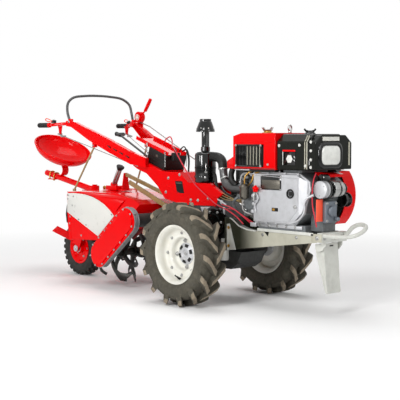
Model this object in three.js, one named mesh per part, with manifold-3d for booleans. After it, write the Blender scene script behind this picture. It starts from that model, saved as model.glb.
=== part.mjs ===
// Walking tractor with a rotary tiller, a seat and a tail wheel bolted on behind it.
// Millimetres. X runs forwards, Y to the left, Z up; z = 0 is the ground.
// Lengths along X are counted from the main axle, and the whole model is shifted at the end
// so that x = 0 is halfway between the front bumper and the rear end of the seat beam.
import * as THREE from "three";
import { mergeVertices } from "three/addons/utils/BufferGeometryUtils.js";
import Module from "manifold-3d";

const wasm = await Module();
wasm.setup();

// ---------------------------------------------------------------- driving dimensions

const GAP = 0.4; // left between two pieces that touch
const PIN_PLAY = 1; // left between a turning pin or stub and what carries it

// main wheels
const TYRE_RADIUS = 305;
const TYRE_WIDTH = 165;
const TRACK = 750; // between the middles of the two tyres
const RIM_LIP_RADIUS = 176;
const RIM_SEAT_RADIUS = 152;
const RIM_WIDTH = 123;
const RIM_WALL = 6;
const RIM_DISH = 95; // from the outer lip in to the wheel disc
const HUB_RADIUS = 64;
const HUB_HEIGHT = 14; // of the cast hub above the wheel disc
const AXLE_STUB_RADIUS = 26;

// gearbox and its clutch
const GEARBOX_BOTTOM = 204;
const GEARBOX_TOP = 610;
const GEARBOX_REAR = -420;
const GEARBOX_BELLY_FRONT = 222;
const AXLE_TUBE_RADIUS = 54;
const AXLE_TUBE_END = 296; // |y| where the axle tube stops, short of the wheel
const FINAL_DRIVE_RADIUS = 84;
const FINAL_DRIVE_REACH = 150; // |y| of the round final drive covers
const CLUTCH_X = 8;
const CLUTCH_Z = 482;
const CLUTCH_RADIUS = 92;
const CLUTCH_PULLEY_RADIUS = 112;

// red sheet body over the gearbox
const BODY_HALF_WIDTH = 110;
const BODY_SHEET = 5;
const TRAY_FRONT = [-495, 774];
const TRAY_REAR = [-690, 838];

// engine frame
const FRAME_REAR = 112;
const FRAME_REAR_BOTTOM = 319;
const FRAME_REAR_TOP = 517;
const FRAME_END = 812;
const RAIL_TOP = 448;
const RAIL_END_BOTTOM = 414;
const RAIL_OUTSIDE = 105; // |y| of the web's outer side
const RAIL_FLANGE = 42;
const PLATE = 8;
const CROSSMEMBER_DEPTH = 36;
const CROSSMEMBER_TOP = 468;
const BUMPER_REACH = 1066; // x of the bumper's middle line at its tip
const BUMPER_HALF_WIDTH = 89;
const BUMPER_TUBE = 12;

// front stand
const STAND_PIVOT = [795, 385];
const STAND_FOOT = [846, 130];
const STAND_TOP_HALF_WIDTH = 60;
const STAND_FOOT_HALF_WIDTH = 56;
const STAND_SHEET = 5;
const STAND_PIN = 9;

// engine
const ENGINE_REAR = 356;
const ENGINE_FRONT = 784;
const ENGINE_TOP = 793;
const ENGINE_RIGHT = -118;
const ENGINE_LEFT = 140;
const GEAR_COVER_DEPTH = 32;
const GEAR_COVER_BEVEL = 25; // degrees that the cover's front end slopes back
const HEAD_REAR = 240;
const HEAD_HALF_WIDTH = 105;
const CRANK_X = 560;
const CRANK_Z = 660;
const FLYWHEEL_RADIUS = 204;
const FLYWHEEL_WIDTH = 46;
const FLYWHEEL_WEB = 14;
const FLYWHEEL_CLEAR = 6; // between the flywheel and the tank above it
const PULLEY_WIDTH = 34;
const ENGINE_PULLEY_RADIUS = 96;
const BELT_DEPTH = 9;
const GUARD_RADIUS = 219;
const GUARD_SHEET = 4;

// radiator cover, tank and lamp
const COVER_REAR = 217;
const COVER_FRONT = 555;
const COVER_BOTTOM = 809;
const COVER_TOP = 1016;
const COVER_HALF_WIDTH = 170;
const COVER_SHEET = 5;
const TANK_FRONT = 790;
const TANK_HALF_WIDTH = 160;
const TANK_TOP = 1010;
const TANK_SHOULDER = 968;
const LAMP_FRONT = 838;
const LAMP_HALF_WIDTH = 152;
const LENS_Y = -29;
const LENS_Z = 893;
const LENS_WIDTH = 157;
const LENS_HEIGHT = 106;

// air cleaner
const CLEANER_X = -151;
const CLEANER_Y = -50;
const CLEANER_BOTTOM = 711;
const CLEANER_TOP = 905;
const CLEANER_RADIUS = 67;
const STACK_RADIUS = 24;
const STACK_TOP = 1034;
const CAP_TOP = 1104;
const CAP_RADIUS = 58;

// handlebars
const HANDLE_FOOT = [-625, 128, 857]; // x, |y| and top edge of the lower end
const HANDLE_SPLAY = Math.atan(0.23); // how far each handlebar turns outwards
const HANDLE_WIDTH = 32;
const HANDLE_SHEET = 4;
const HANDLE_BACK = -1290; // x where the channel ends and the grip tube starts
const GRIP_TUBE = 11;
const GRIP_RADIUS = 17;
const GRIP_LENGTH = 122;
const GRIP_END = [-1548, 345, 1074];
const HOOP_TUBE = 9;
const HOOP_TOP = 1282;

// battery
const BATTERY_LENGTH = 184;
const BATTERY_WIDTH = 174;
const BATTERY_HEIGHT = 98;

// tiller
const ROTOR_X = -868;
const ROTOR_Z = 227;
const ROTOR_RADIUS = 205;
const ROTOR_TUBE = 26;
const CROSS_TUBE_X = -580;
const CROSS_TUBE_Z = 460;
const CROSS_TUBE_RADIUS = 44;
const TILLER_HALF_WIDTH = 296;
const HOOD_SHEET = 5;
const HOOD_REAR = -1286;
const HOOD_TOP = 626;
const CASE_RADIUS = 85;
const CASE_DEPTH = 40;
const CASE_LID = 13;

// seat, its beam, and the tail wheel
const BEAM_REAR = -1966;
const BEAM_REAR_Z = 726;
const BEAM_FRONT = -1330;
const BEAM_SLOPE = -0.185;
const BEAM_RADIUS = 22;
const SEAT_X = -1752;
const SEAT_Z = 914;
const SEAT_TILT = 0.47;
const SEAT_LENGTH = 221; // half of the dish along its slope
const SEAT_HALF_WIDTH = 215;
const SEAT_DEPTH = 110;
const SEAT_WALL = 6;
const TAIL_STEM_X = -1365;
const TAIL_STEM_RADIUS = 18;
const TAIL_TRAIL = 137; // from the stem back to the wheel's axle
const TAIL_RADIUS = 195;
const TAIL_WIDTH = 100;
const TAIL_RIM_RADIUS = 111;
const TAIL_CLEAR = 9; // between the tyre and the fork
const FOOT_REST_RISE = 33; // degrees that the foot rests climb outwards

// ---------------------------------------------------------------- materials

function finish(color, roughness, metalness = 0) {
  return new THREE.MeshStandardMaterial({ color, roughness, metalness });
}
const red = finish(0xdd1216, 0.3);
const framePaint = finish(0xb2af9e, 0.5);
const standPaint = finish(0xcbccc5, 0.5);
const cream = finish(0xf0eee4, 0.4);
const tyreRubber = finish(0x54504a, 0.9);
const blackRubber = finish(0x1c1c1c, 0.8);
const castGrey = finish(0x6f7274, 0.6, 0.4);
const silver = finish(0xbebec0, 0.4, 0.6);
const blackPaint = finish(0x1d1e1d, 0.35);
const steel = finish(0x8f8f8e, 0.35, 0.9);
const tan = finish(0x967846, 0.5);
const glass = finish(0xe8eef2, 0.1);
const bladeSteel = finish(0x2c2d2c, 0.5, 0.5);

// ---------------------------------------------------------------- shapes

// Turns a closed three.js geometry into a solid, with its faces pointing out.
function solid(geometry) {
  const bare = new THREE.BufferGeometry();
  bare.setAttribute("position", geometry.getAttribute("position").clone());
  bare.setIndex(geometry.index ? geometry.index.clone() : null);
  const merged = mergeVertices(bare, 1e-3);
  const position = merged.getAttribute("position");
  const source = merged.index.array;
  const corners = [];
  let volume = 0;
  const [a, b, c] = [new THREE.Vector3(), new THREE.Vector3(), new THREE.Vector3()];
  for (let i = 0; i < source.length; i += 3) {
    const [p, q, r] = [source[i], source[i + 1], source[i + 2]];
    if (p === q || q === r || r === p) continue;
    corners.push([p, q, r]);
    a.fromBufferAttribute(position, p);
    b.fromBufferAttribute(position, q);
    c.fromBufferAttribute(position, r);
    volume += a.dot(b.cross(c));
  }
  const triVerts = corners.flatMap(([p, q, r]) => (volume < 0 ? [p, r, q] : [p, q, r]));
  return new wasm.Manifold(new wasm.Mesh({
    numProp: 3,
    vertProperties: Float32Array.from(position.array),
    triVerts: Uint32Array.from(triVerts),
  }));
}

function union(...solids) {
  return solids.reduce((whole, next) => whole.add(next));
}

function flatShape(points) {
  return new THREE.Shape(points.map(([u, v]) => new THREE.Vector2(u, v)));
}

function extruded(points, depth) {
  return new THREE.ExtrudeGeometry(flatShape(points), { depth, bevelEnabled: false });
}

// A prism whose outline is [x, z] and which reaches from y0 to y1.
function prismY(points, y0, y1) {
  const geometry = extruded(points, y1 - y0);
  geometry.rotateX(Math.PI / 2);
  geometry.translate(0, y1, 0);
  return solid(geometry);
}

// A prism whose outline is [y, z] and which reaches from x0 to x1.
function prismX(points, x0, x1) {
  const geometry = extruded(points, x1 - x0);
  const turn = new THREE.Matrix4().makeBasis(
    new THREE.Vector3(0, 1, 0),
    new THREE.Vector3(0, 0, 1),
    new THREE.Vector3(1, 0, 0),
  );
  geometry.applyMatrix4(turn);
  geometry.translate(x0, 0, 0);
  return solid(geometry);
}

function box([x0, x1], [y0, y1], [z0, z1]) {
  const geometry = new THREE.BoxGeometry(x1 - x0, y1 - y0, z1 - z0);
  geometry.translate((x0 + x1) / 2, (y0 + y1) / 2, (z0 + z1) / 2);
  return solid(geometry);
}

// A round bar from one point to another, which may taper.
function rod(from, to, radius, sides = 12, endRadius = radius) {
  const start = new THREE.Vector3(...from);
  const end = new THREE.Vector3(...to);
  const along = end.clone().sub(start);
  const geometry = new THREE.CylinderGeometry(endRadius, radius, along.length(), sides);
  const turn = new THREE.Quaternion().setFromUnitVectors(
    new THREE.Vector3(0, 1, 0),
    along.clone().normalize(),
  );
  geometry.applyQuaternion(turn);
  const middle = start.add(end).multiplyScalar(0.5);
  geometry.translate(middle.x, middle.y, middle.z);
  return solid(geometry);
}

// A flat bar from one point to another: height in its own upright plane, width across it.
function flatBar(from, to, width, height) {
  const start = new THREE.Vector3(...from);
  const end = new THREE.Vector3(...to);
  const along = end.clone().sub(start);
  const length = along.length();
  along.normalize();
  const across = new THREE.Vector3(0, 0, 1).cross(along).normalize();
  const up = along.clone().cross(across);
  const geometry = new THREE.BoxGeometry(length, width, height);
  geometry.applyMatrix4(new THREE.Matrix4().makeBasis(along, across, up));
  const middle = start.add(end).multiplyScalar(0.5);
  geometry.translate(middle.x, middle.y, middle.z);
  return solid(geometry);
}

function circle(radius, sides) {
  return Array.from({ length: sides }, (_, i) => {
    const angle = (2 * Math.PI * i) / sides;
    return [radius * Math.cos(angle), radius * Math.sin(angle)];
  });
}

// A bent round tube, solid inside, through the points given.
function tube(points, radius, steps, sides = 10) {
  const path = new THREE.CatmullRomCurve3(points.map((p) => new THREE.Vector3(...p)));
  const shape = flatShape(circle(radius, sides));
  return solid(new THREE.ExtrudeGeometry(shape, { steps, extrudePath: path }));
}

// A turned piece about Y: the profile is [radius, y] and starts and ends on the axis,
// or closes on itself.
function turnedY(profile, sides = 48) {
  const points = profile.map(([r, y]) => new THREE.Vector2(r, y));
  return solid(new THREE.LatheGeometry(points, sides));
}

function turnedZ(profile, sides = 32) {
  const points = profile.map(([r, z]) => new THREE.Vector2(r, z));
  const geometry = new THREE.LatheGeometry(points, sides);
  geometry.rotateX(Math.PI / 2);
  return solid(geometry);
}

// A disc or drum with its axis along Y.
function drum(x, z, radius, y0, y1, sides = 32) {
  return rod([x, y0, z], [x, y1, z], radius, sides);
}

// Points of a circular arc in the XZ plane.
function arc(x, z, radius, fromAngle, toAngle, steps) {
  return Array.from({ length: steps + 1 }, (_, i) => {
    const angle = fromAngle + ((toAngle - fromAngle) * i) / steps;
    return [x + radius * Math.cos(angle), z + radius * Math.sin(angle)];
  });
}

// The outline moved inwards by a wall's thickness.
function inset(points, wall) {
  const area = points.reduce((sum, [x, y], i) => {
    const [nx, ny] = points[(i + 1) % points.length];
    return sum + x * ny - nx * y;
  }, 0);
  const side = Math.sign(area);
  return points.map((here, i) => {
    const before = points[(i + points.length - 1) % points.length];
    const after = points[(i + 1) % points.length];
    const inward = (from, to) => {
      const length = Math.hypot(to[0] - from[0], to[1] - from[1]);
      return [(-side * (to[1] - from[1])) / length, (side * (to[0] - from[0])) / length];
    };
    const one = inward(before, here);
    const two = inward(here, after);
    const shared = wall / (1 + one[0] * two[0] + one[1] * two[1]);
    return [here[0] + (one[0] + two[0]) * shared, here[1] + (one[1] + two[1]) * shared];
  });
}

// The outline of a rounded rectangle.
function roundedRectangle(width, height, radius, steps = 4) {
  const corners = [[1, 1], [-1, 1], [-1, -1], [1, -1]];
  return corners.flatMap(([sx, sy], i) => {
    const start = (i * Math.PI) / 2;
    return arc(
      sx * (width / 2 - radius), sy * (height / 2 - radius), radius, start, start + Math.PI / 2, steps,
    );
  });
}

// ---------------------------------------------------------------- the scene graph

const tractor = new THREE.Group();
const frontWheels = new THREE.Group();
tractor.add(frontWheels);

function addPart(name, shape, material, group = tractor) {
  const { vertProperties, triVerts } = shape.getMesh();
  const geometry = new THREE.BufferGeometry();
  geometry.setAttribute("position", new THREE.BufferAttribute(Float32Array.from(vertProperties), 3));
  geometry.setIndex(new THREE.BufferAttribute(Uint32Array.from(triVerts), 1));
  geometry.computeVertexNormals();
  const mesh = new THREE.Mesh(geometry, material);
  mesh.name = name;
  group.add(mesh);
  return mesh;
}

const SIDES = [["right", -1], ["left", 1]];

// ---------------------------------------------------------------- main wheels

function tyreShape(radius, width, seatRadius, seatWidth, sides) {
  const half = width / 2;
  const wall = radius - seatRadius;
  return turnedY([
    [seatRadius, -seatWidth / 2],
    [seatRadius + wall * 0.18, -seatWidth / 2],
    [seatRadius + wall * 0.4, -half],
    [radius - wall * 0.22, -half],
    [radius - wall * 0.05, -half * 0.88],
    [radius, -half * 0.72],
    [radius, half * 0.72],
    [radius - wall * 0.05, half * 0.88],
    [radius - wall * 0.22, half],
    [seatRadius + wall * 0.4, half],
    [seatRadius + wall * 0.18, seatWidth / 2],
    [seatRadius, seatWidth / 2],
    [seatRadius, -seatWidth / 2],
  ], sides);
}

function mainRim() {
  const lip = RIM_WIDTH / 2;
  const inside = RIM_SEAT_RADIUS - RIM_WALL;
  const disc = lip - RIM_DISH;
  const step = disc + 0.35 * RIM_DISH;
  const hubFace = disc + HUB_HEIGHT;
  const inner = AXLE_TUBE_END + PIN_PLAY - TRACK / 2;
  const wheel = turnedY([
    [0, disc],
    [HUB_RADIUS + 30, disc],
    [HUB_RADIUS + 36, step],
    [inside - 8, step],
    [inside, step + 10],
    [inside, lip],
    [RIM_LIP_RADIUS, lip],
    [RIM_LIP_RADIUS, lip - RIM_WALL],
    [RIM_SEAT_RADIUS, lip - RIM_WALL],
    [RIM_SEAT_RADIUS, -lip + RIM_WALL],
    [RIM_LIP_RADIUS, -lip + RIM_WALL],
    [RIM_LIP_RADIUS, -lip],
    [inside, -lip],
    [inside, step - RIM_WALL],
    [HUB_RADIUS + 30, step - RIM_WALL],
    [HUB_RADIUS + 24, disc - RIM_WALL],
    [HUB_RADIUS, disc - RIM_WALL],
    [HUB_RADIUS - 12, disc - 22],
    [AXLE_STUB_RADIUS, disc - 22],
    [AXLE_STUB_RADIUS, inner],
    [0, inner],
  ], 36);
  return wheel.add(prismY(circle(HUB_RADIUS, 36), disc - 4, hubFace));
}

for (const [side, sign] of SIDES) {
  const wheel = new THREE.Group();
  wheel.position.set(0, (sign * TRACK) / 2, TYRE_RADIUS);
  wheel.rotation.z = sign < 0 ? Math.PI : 0; // the dished side faces out
  frontWheels.add(wheel);
  const seatWidth = RIM_WIDTH - 2 * RIM_WALL - 2 * GAP;
  const tyre = tyreShape(TYRE_RADIUS, TYRE_WIDTH, RIM_SEAT_RADIUS + GAP, seatWidth, 36);
  addPart(`tyre_${side}`, tyre, tyreRubber, wheel);
  addPart(`wheel_rim_${side}`, mainRim(), cream, wheel);
}

// ---------------------------------------------------------------- gearbox and clutch

const gearboxHalf = BODY_HALF_WIDTH - BODY_SHEET - GAP;

function gearboxCase() {
  const frontFace = FRAME_REAR - GAP;
  const casting = prismY([
    [-135, FRAME_REAR_BOTTOM + 40],
    [-112, 250],
    [-62, GEARBOX_BOTTOM],
    [GEARBOX_BELLY_FRONT - 90, GEARBOX_BOTTOM],
    [GEARBOX_BELLY_FRONT - 36, 238],
    [GEARBOX_BELLY_FRONT, FRAME_REAR_BOTTOM - 8],
    [frontFace, FRAME_REAR_BOTTOM - 8],
    [frontFace, FRAME_REAR_TOP],
    [-20, GEARBOX_TOP - 20],
    [-60, GEARBOX_TOP],
    [GEARBOX_REAR + 60, GEARBOX_TOP],
    [GEARBOX_REAR, GEARBOX_TOP - 45],
    [GEARBOX_REAR, CROSS_TUBE_Z - 55],
    [-180, CROSS_TUBE_Z - 70],
  ], -gearboxHalf, gearboxHalf);
  const covers = drum(0, TYRE_RADIUS, FINAL_DRIVE_RADIUS, -FINAL_DRIVE_REACH, FINAL_DRIVE_REACH);
  const axleTube = drum(0, TYRE_RADIUS, AXLE_TUBE_RADIUS, -AXLE_TUBE_END, AXLE_TUBE_END, 24);
  return union(casting, covers, axleTube);
}
addPart("gearbox_case", gearboxCase(), castGrey);

const flywheelStart = COVER_HALF_WIDTH + FLYWHEEL_CLEAR;
const flywheelEnd = flywheelStart + FLYWHEEL_WIDTH;
const pulleyStart = flywheelEnd + 4;
const pulleyEnd = pulleyStart + PULLEY_WIDTH;

const clutchFace = gearboxHalf + GAP;
addPart(
  "clutch_cover",
  drum(CLUTCH_X, CLUTCH_Z, CLUTCH_RADIUS, -clutchFace - 22, -clutchFace),
  blackPaint,
);
addPart("clutch_pulley", union(
  drum(CLUTCH_X, CLUTCH_Z, 46, clutchFace, pulleyStart, 20),
  drum(CLUTCH_X, CLUTCH_Z, CLUTCH_PULLEY_RADIUS, pulleyStart - 1, pulleyEnd),
), castGrey);

// ---------------------------------------------------------------- sheet body and battery

const bodyOutline = [
  [-792, 804],
  [-749, 783],
  [-652, 755],
  [-544, 680],
  [-470, 600],
  [-300, 570],
  [8, 575],
  [26, 626],
  [66, 651],
  [-47, CLEANER_BOTTOM - GAP],
  [-240, CLEANER_BOTTOM - GAP],
  [-330, TRAY_FRONT[1] - 3],
  TRAY_FRONT,
  TRAY_REAR,
  [-788, 846],
];

function bodyPanel() {
  const outside = prismY(bodyOutline, -BODY_HALF_WIDTH, BODY_HALF_WIDTH);
  const innerHalf = BODY_HALF_WIDTH - BODY_SHEET;
  const inside = prismY(inset(bodyOutline, BODY_SHEET), -innerHalf, innerHalf);
  const below = inside.translate([0, 0, -6 * BODY_SHEET]);
  const besideCleaner = box([CLEANER_X + 64, 300], [-innerHalf + 20, BODY_HALF_WIDTH + 5], [500, 800]);
  return outside.subtract(inside).subtract(below).subtract(besideCleaner);
}
addPart("body_panel", bodyPanel(), red);

// The battery lies in the sloping tray, tilted down to the front.
const trayAngle = Math.atan2(TRAY_REAR[1] - TRAY_FRONT[1], TRAY_FRONT[0] - TRAY_REAR[0]);
const battery = new THREE.Group();
battery.position.set(TRAY_REAR[0], 0, TRAY_REAR[1]);
battery.rotation.y = trayAngle;
tractor.add(battery);
const batteryStart = 8;
const batteryTop = GAP + BATTERY_HEIGHT;
addPart("battery", box(
  [batteryStart, batteryStart + BATTERY_LENGTH],
  [-BATTERY_WIDTH / 2, BATTERY_WIDTH / 2],
  [GAP, batteryTop],
), blackPaint, battery);
const clampBack = -150;
addPart("battery_clamp", union(
  box([clampBack, BATTERY_LENGTH + 6], [-78, 78], [batteryTop + GAP, batteryTop + 6]),
  box([clampBack, BATTERY_LENGTH + 6], [-78, -73], [batteryTop + GAP, batteryTop + 24]),
  box([clampBack, BATTERY_LENGTH + 6], [73, 78], [batteryTop + GAP, batteryTop + 24]),
), red, battery);

// ---------------------------------------------------------------- engine frame and stand

const railTopCurve = [
  [FRAME_REAR + 1, FRAME_REAR_TOP],
  [150, 503],
  [200, 470],
  [262, 453],
  [340, RAIL_TOP],
  [FRAME_END, RAIL_TOP],
];
const railBottomCurve = [
  [FRAME_END, RAIL_END_BOTTOM],
  [FRAME_REAR + 1, FRAME_REAR_BOTTOM],
];

function railBottomAt(x) {
  const t = (x - railBottomCurve[1][0]) / (railBottomCurve[0][0] - railBottomCurve[1][0]);
  return FRAME_REAR_BOTTOM + t * (RAIL_END_BOTTOM - FRAME_REAR_BOTTOM);
}

function frameRail() {
  const top = railTopCurve;
  const bottom = railBottomCurve;
  const lowered = [...top].reverse().map(([x, z]) => [x, z - PLATE]);
  const raised = [...bottom].reverse().map(([x, z]) => [x, z + PLATE]);
  const flangeEdge = RAIL_OUTSIDE - RAIL_FLANGE;
  const gusset = (x) => box(
    [x, x + PLATE],
    [flangeEdge + 6, RAIL_OUTSIDE],
    [railBottomAt(x) + 2, RAIL_TOP - 3],
  );
  return union(
    prismY([...top, ...bottom], RAIL_OUTSIDE - PLATE, RAIL_OUTSIDE),
    prismY([...top, ...lowered], flangeEdge, RAIL_OUTSIDE),
    prismY([...bottom, ...raised], flangeEdge, RAIL_OUTSIDE),
    gusset(300),
    gusset(600),
  );
}
const plateHalf = RAIL_OUTSIDE + 31;
const rearPlate = box(
  [FRAME_REAR, FRAME_REAR + PLATE],
  [-plateHalf, plateHalf],
  [FRAME_REAR_BOTTOM, FRAME_REAR_TOP],
);
const leftRail = frameRail();
addPart("engine_frame", union(rearPlate, leftRail, leftRail.mirror([0, 1, 0])), framePaint);

const crossmemberFront = FRAME_END + CROSSMEMBER_DEPTH;
const crossmemberHalf = RAIL_OUTSIDE;
const earTop = RAIL_END_BOTTOM - 12; // under the rails' lower flanges

function frontCrossmember() {
  const earInside = STAND_TOP_HALF_WIDTH + 6;
  const ear = (sign) => {
    const faces = [sign * earInside, sign * (earInside + PLATE)].sort((p, q) => p - q);
    return prismY([
      [crossmemberFront - 4, RAIL_END_BOTTOM + 2],
      [crossmemberFront - 4, STAND_PIVOT[1] + 12],
      [STAND_PIVOT[0] + 26, STAND_PIVOT[1] - 16],
      [STAND_PIVOT[0] + 10, STAND_PIVOT[1] - 24],
      [STAND_PIVOT[0] - 12, STAND_PIVOT[1] - 24],
      [STAND_PIVOT[0] - 24, STAND_PIVOT[1] - 12],
      [STAND_PIVOT[0] - 24, earTop],
      [FRAME_END + 2, earTop],
      [FRAME_END + 2, RAIL_END_BOTTOM + 2],
    ], ...faces);
  };
  const beam = box(
    [FRAME_END + GAP, crossmemberFront],
    [-crossmemberHalf, crossmemberHalf],
    [RAIL_END_BOTTOM, CROSSMEMBER_TOP],
  );
  return union(beam, ear(-1), ear(1));
}
addPart("frame_crossmember", frontCrossmember(), standPaint);

// The bumper's near leg lies low and its far leg climbs, so the loop leans to one side.
const bumperPath = [
  [crossmemberFront + 1, -BUMPER_HALF_WIDTH, 454],
  [crossmemberFront + 15, -BUMPER_HALF_WIDTH, 454],
  [930, -BUMPER_HALF_WIDTH - 1, 455],
  [1004, -BUMPER_HALF_WIDTH, 458],
  [BUMPER_REACH - 14, -72, 468],
  [BUMPER_REACH, -26, 488],
  [BUMPER_REACH - 12, 14, 506],
  [BUMPER_REACH - 44, 42, 515],
  [964, 62, 513],
  [906, 79, 491],
  [crossmemberFront + 15, BUMPER_HALF_WIDTH - 0.5, 456],
  [crossmemberFront + 2.5, BUMPER_HALF_WIDTH, 455],
];
const mirrored = (points) => [...points].reverse().map(([x, y, z]) => [x, -y, z]);
addPart("front_bumper", tube(bumperPath, BUMPER_TUBE, 40), standPaint);

function frontStand() {
  const [px, pz] = STAND_PIVOT;
  const [fx, fz] = STAND_FOOT;
  const webTop = [px + 25, pz + 22];
  // the leg's front sheet narrows from its top to its foot
  const length = Math.hypot(fx - webTop[0], webTop[1] - fz);
  const angle = Math.atan2(fx - webTop[0], webTop[1] - fz);
  const web = new THREE.Group();
  web.position.set(webTop[0], 0, webTop[1]);
  web.rotation.y = -angle;
  web.updateMatrix();
  const narrow = (half, inset0) => [
    [-half, 0],
    [-(half - (STAND_TOP_HALF_WIDTH - STAND_FOOT_HALF_WIDTH)), -length],
    [half - (STAND_TOP_HALF_WIDTH - STAND_FOOT_HALF_WIDTH), -length],
    [half, 0],
  ].map(([y, z]) => [y, z - inset0]);
  const outerBlock = prismX(narrow(STAND_TOP_HALF_WIDTH, 0), -60, 0);
  const innerBlock = prismX(narrow(STAND_TOP_HALF_WIDTH - STAND_SHEET, 0), -70, -STAND_SHEET)
    .add(prismX(narrow(STAND_TOP_HALF_WIDTH - STAND_SHEET, 40), -70, -STAND_SHEET))
    .add(prismX(narrow(STAND_TOP_HALF_WIDTH - STAND_SHEET, -40), -70, -STAND_SHEET));
  const channel = outerBlock.subtract(innerBlock);
  // the sides taper from deep at the pivot to shallow at the foot
  const taper = prismY([
    [-60, -70],
    [-12, -length - 10],
    [-90, -length - 10],
    [-90, -70],
  ], -100, 100);
  const corner = prismY([[-70, 10], [-30, 10], [-30, 0], [-60, -30], [-70, -30]], -100, 100);
  const leg = channel.subtract(taper).subtract(corner).transform(web.matrix.toArray());
  const pinHalf = STAND_TOP_HALF_WIDTH + 6 - PIN_PLAY;
  const pin = drum(px, pz, STAND_PIN, -pinHalf, pinHalf, 16);
  return union(leg, pin);
}
addPart("front_stand", frontStand(), standPaint);

// ---------------------------------------------------------------- engine

const engineOutline = [
  [ENGINE_REAR, 499],
  [ENGINE_REAR, ENGINE_TOP],
  [ENGINE_FRONT - 84, ENGINE_TOP],
  [ENGINE_FRONT - 8, ENGINE_TOP - 44],
  [ENGINE_FRONT, ENGINE_TOP - 92],
  [ENGINE_FRONT - 34, 606],
  [ENGINE_FRONT - 40, 570],
  [ENGINE_FRONT - 118, 499],
];

addPart("engine_block", union(
  prismY(engineOutline, ENGINE_RIGHT, ENGINE_LEFT),
  box([ENGINE_REAR + 8, ENGINE_FRONT - 60], [-RAIL_OUTSIDE, RAIL_OUTSIDE], [RAIL_TOP + GAP, 501]),
  box([ENGINE_FRONT - 62, ENGINE_FRONT + 26], [-55, 50], [470, 640]),
  box([COVER_FRONT + 8, ENGINE_FRONT - 84], [-110, 110], [ENGINE_TOP - 1, COVER_BOTTOM - GAP]),
), castGrey);

function gearCover() {
  const outside = ENGINE_RIGHT - GEAR_COVER_DEPTH;
  const flange = prismY(engineOutline, ENGINE_RIGHT - 12, ENGINE_RIGHT - GAP);
  const bevel = box([0, 300], [-90, 0], [400, 900])
    .rotate([0, 0, GEAR_COVER_BEVEL])
    .translate([ENGINE_FRONT - 68, outside, 0]);
  const face = prismY(inset(engineOutline, 9), outside, ENGINE_RIGHT - 6).subtract(bevel);
  const hole = drum(ENGINE_FRONT - 130, 678, 18, outside - 5, outside + 14, 20);
  return union(flange, face).subtract(hole);
}
addPart("gear_cover", gearCover(), silver);

addPart("cylinder_head", union(
  box([HEAD_REAR, ENGINE_REAR - GAP], [-HEAD_HALF_WIDTH, HEAD_HALF_WIDTH], [535, 700]),
  box([HEAD_REAR + 12, ENGINE_REAR - GAP], [-78, 78], [690, 745]),
), castGrey);

function flywheel() {
  const web = flywheelEnd - FLYWHEEL_WEB;
  return turnedY([
    [0, ENGINE_LEFT + GAP],
    [48, ENGINE_LEFT + GAP],
    [48, web],
    [FLYWHEEL_RADIUS - 34, web],
    [FLYWHEEL_RADIUS - 34, flywheelStart],
    [FLYWHEEL_RADIUS, flywheelStart],
    [FLYWHEEL_RADIUS, flywheelEnd],
    [ENGINE_PULLEY_RADIUS, flywheelEnd],
    [ENGINE_PULLEY_RADIUS, pulleyEnd],
    [0, pulleyEnd],
  ]).translate([CRANK_X, 0, CRANK_Z]);
}
addPart("flywheel", flywheel(), castGrey);

function driveBelts() {
  const dx = CRANK_X - CLUTCH_X;
  const dz = CRANK_Z - CLUTCH_Z;
  const slope = Math.atan2(dz, dx);
  const loop = (growth) => {
    const big = CLUTCH_PULLEY_RADIUS + growth;
    const small = ENGINE_PULLEY_RADIUS + growth;
    const lean = Math.acos((small - big) / Math.hypot(dx, dz));
    const front = arc(CRANK_X, CRANK_Z, small, slope - lean, slope + lean, 10);
    const back = arc(CLUTCH_X, CLUTCH_Z, big, slope + lean, slope + 2 * Math.PI - lean, 14);
    return [...front, ...back];
  };
  const span = [pulleyStart + 2, pulleyEnd - 2];
  const outside = prismY(loop(BELT_DEPTH), ...span);
  const inside = prismY(loop(5 * GAP), span[0] - 5, span[1] + 5);
  return outside.subtract(inside);
}
addPart("drive_belts", driveBelts(), blackRubber);

function flywheelGuard() {
  const guardStart = flywheelStart;
  const guardEnd = pulleyEnd + 6;
  const sector = (radius) => [
    [CRANK_X + 110, CRANK_Z - 168],
    ...arc(CRANK_X, CRANK_Z, radius, -0.86, 0.68, 16),
    [CRANK_X + 110, CRANK_Z + 140],
  ];
  const plate = prismY(sector(GUARD_RADIUS), guardEnd - GUARD_SHEET, guardEnd);
  const rim = prismY([
    ...arc(CRANK_X, CRANK_Z, GUARD_RADIUS, -0.86, 0.68, 16),
    ...arc(CRANK_X, CRANK_Z, GUARD_RADIUS - GUARD_SHEET, 0.68, -0.86, 16),
  ], guardStart, guardEnd);
  return union(plate, rim);
}
addPart("flywheel_guard", flywheelGuard(), red);

const coverOutline = [
  [COVER_REAR, COVER_BOTTOM],
  [COVER_REAR, COVER_TOP - 17],
  [COVER_REAR + 66, COVER_TOP],
  [COVER_FRONT, COVER_TOP],
  [COVER_FRONT, COVER_BOTTOM],
];

function radiatorCover() {
  const outside = prismY(coverOutline, -COVER_HALF_WIDTH, COVER_HALF_WIDTH);
  const innerHalf = COVER_HALF_WIDTH - COVER_SHEET;
  const inner = prismY(inset(coverOutline, COVER_SHEET), -innerHalf, innerHalf);
  const window = box(
    [COVER_REAR + 26, COVER_REAR + 247],
    [-COVER_HALF_WIDTH - 5, COVER_HALF_WIDTH + 5],
    [COVER_BOTTOM + 13, COVER_BOTTOM + 141],
  );
  return outside.subtract(inner).subtract(inner.translate([0, 0, -30])).subtract(window);
}
addPart("radiator_cover", radiatorCover(), red);
addPart("radiator_core", box(
  [COVER_REAR + 16, COVER_FRONT - 16],
  [-COVER_HALF_WIDTH + 16, COVER_HALF_WIDTH - 16],
  [ENGINE_TOP + GAP, COVER_TOP - 26],
), blackPaint);

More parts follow.
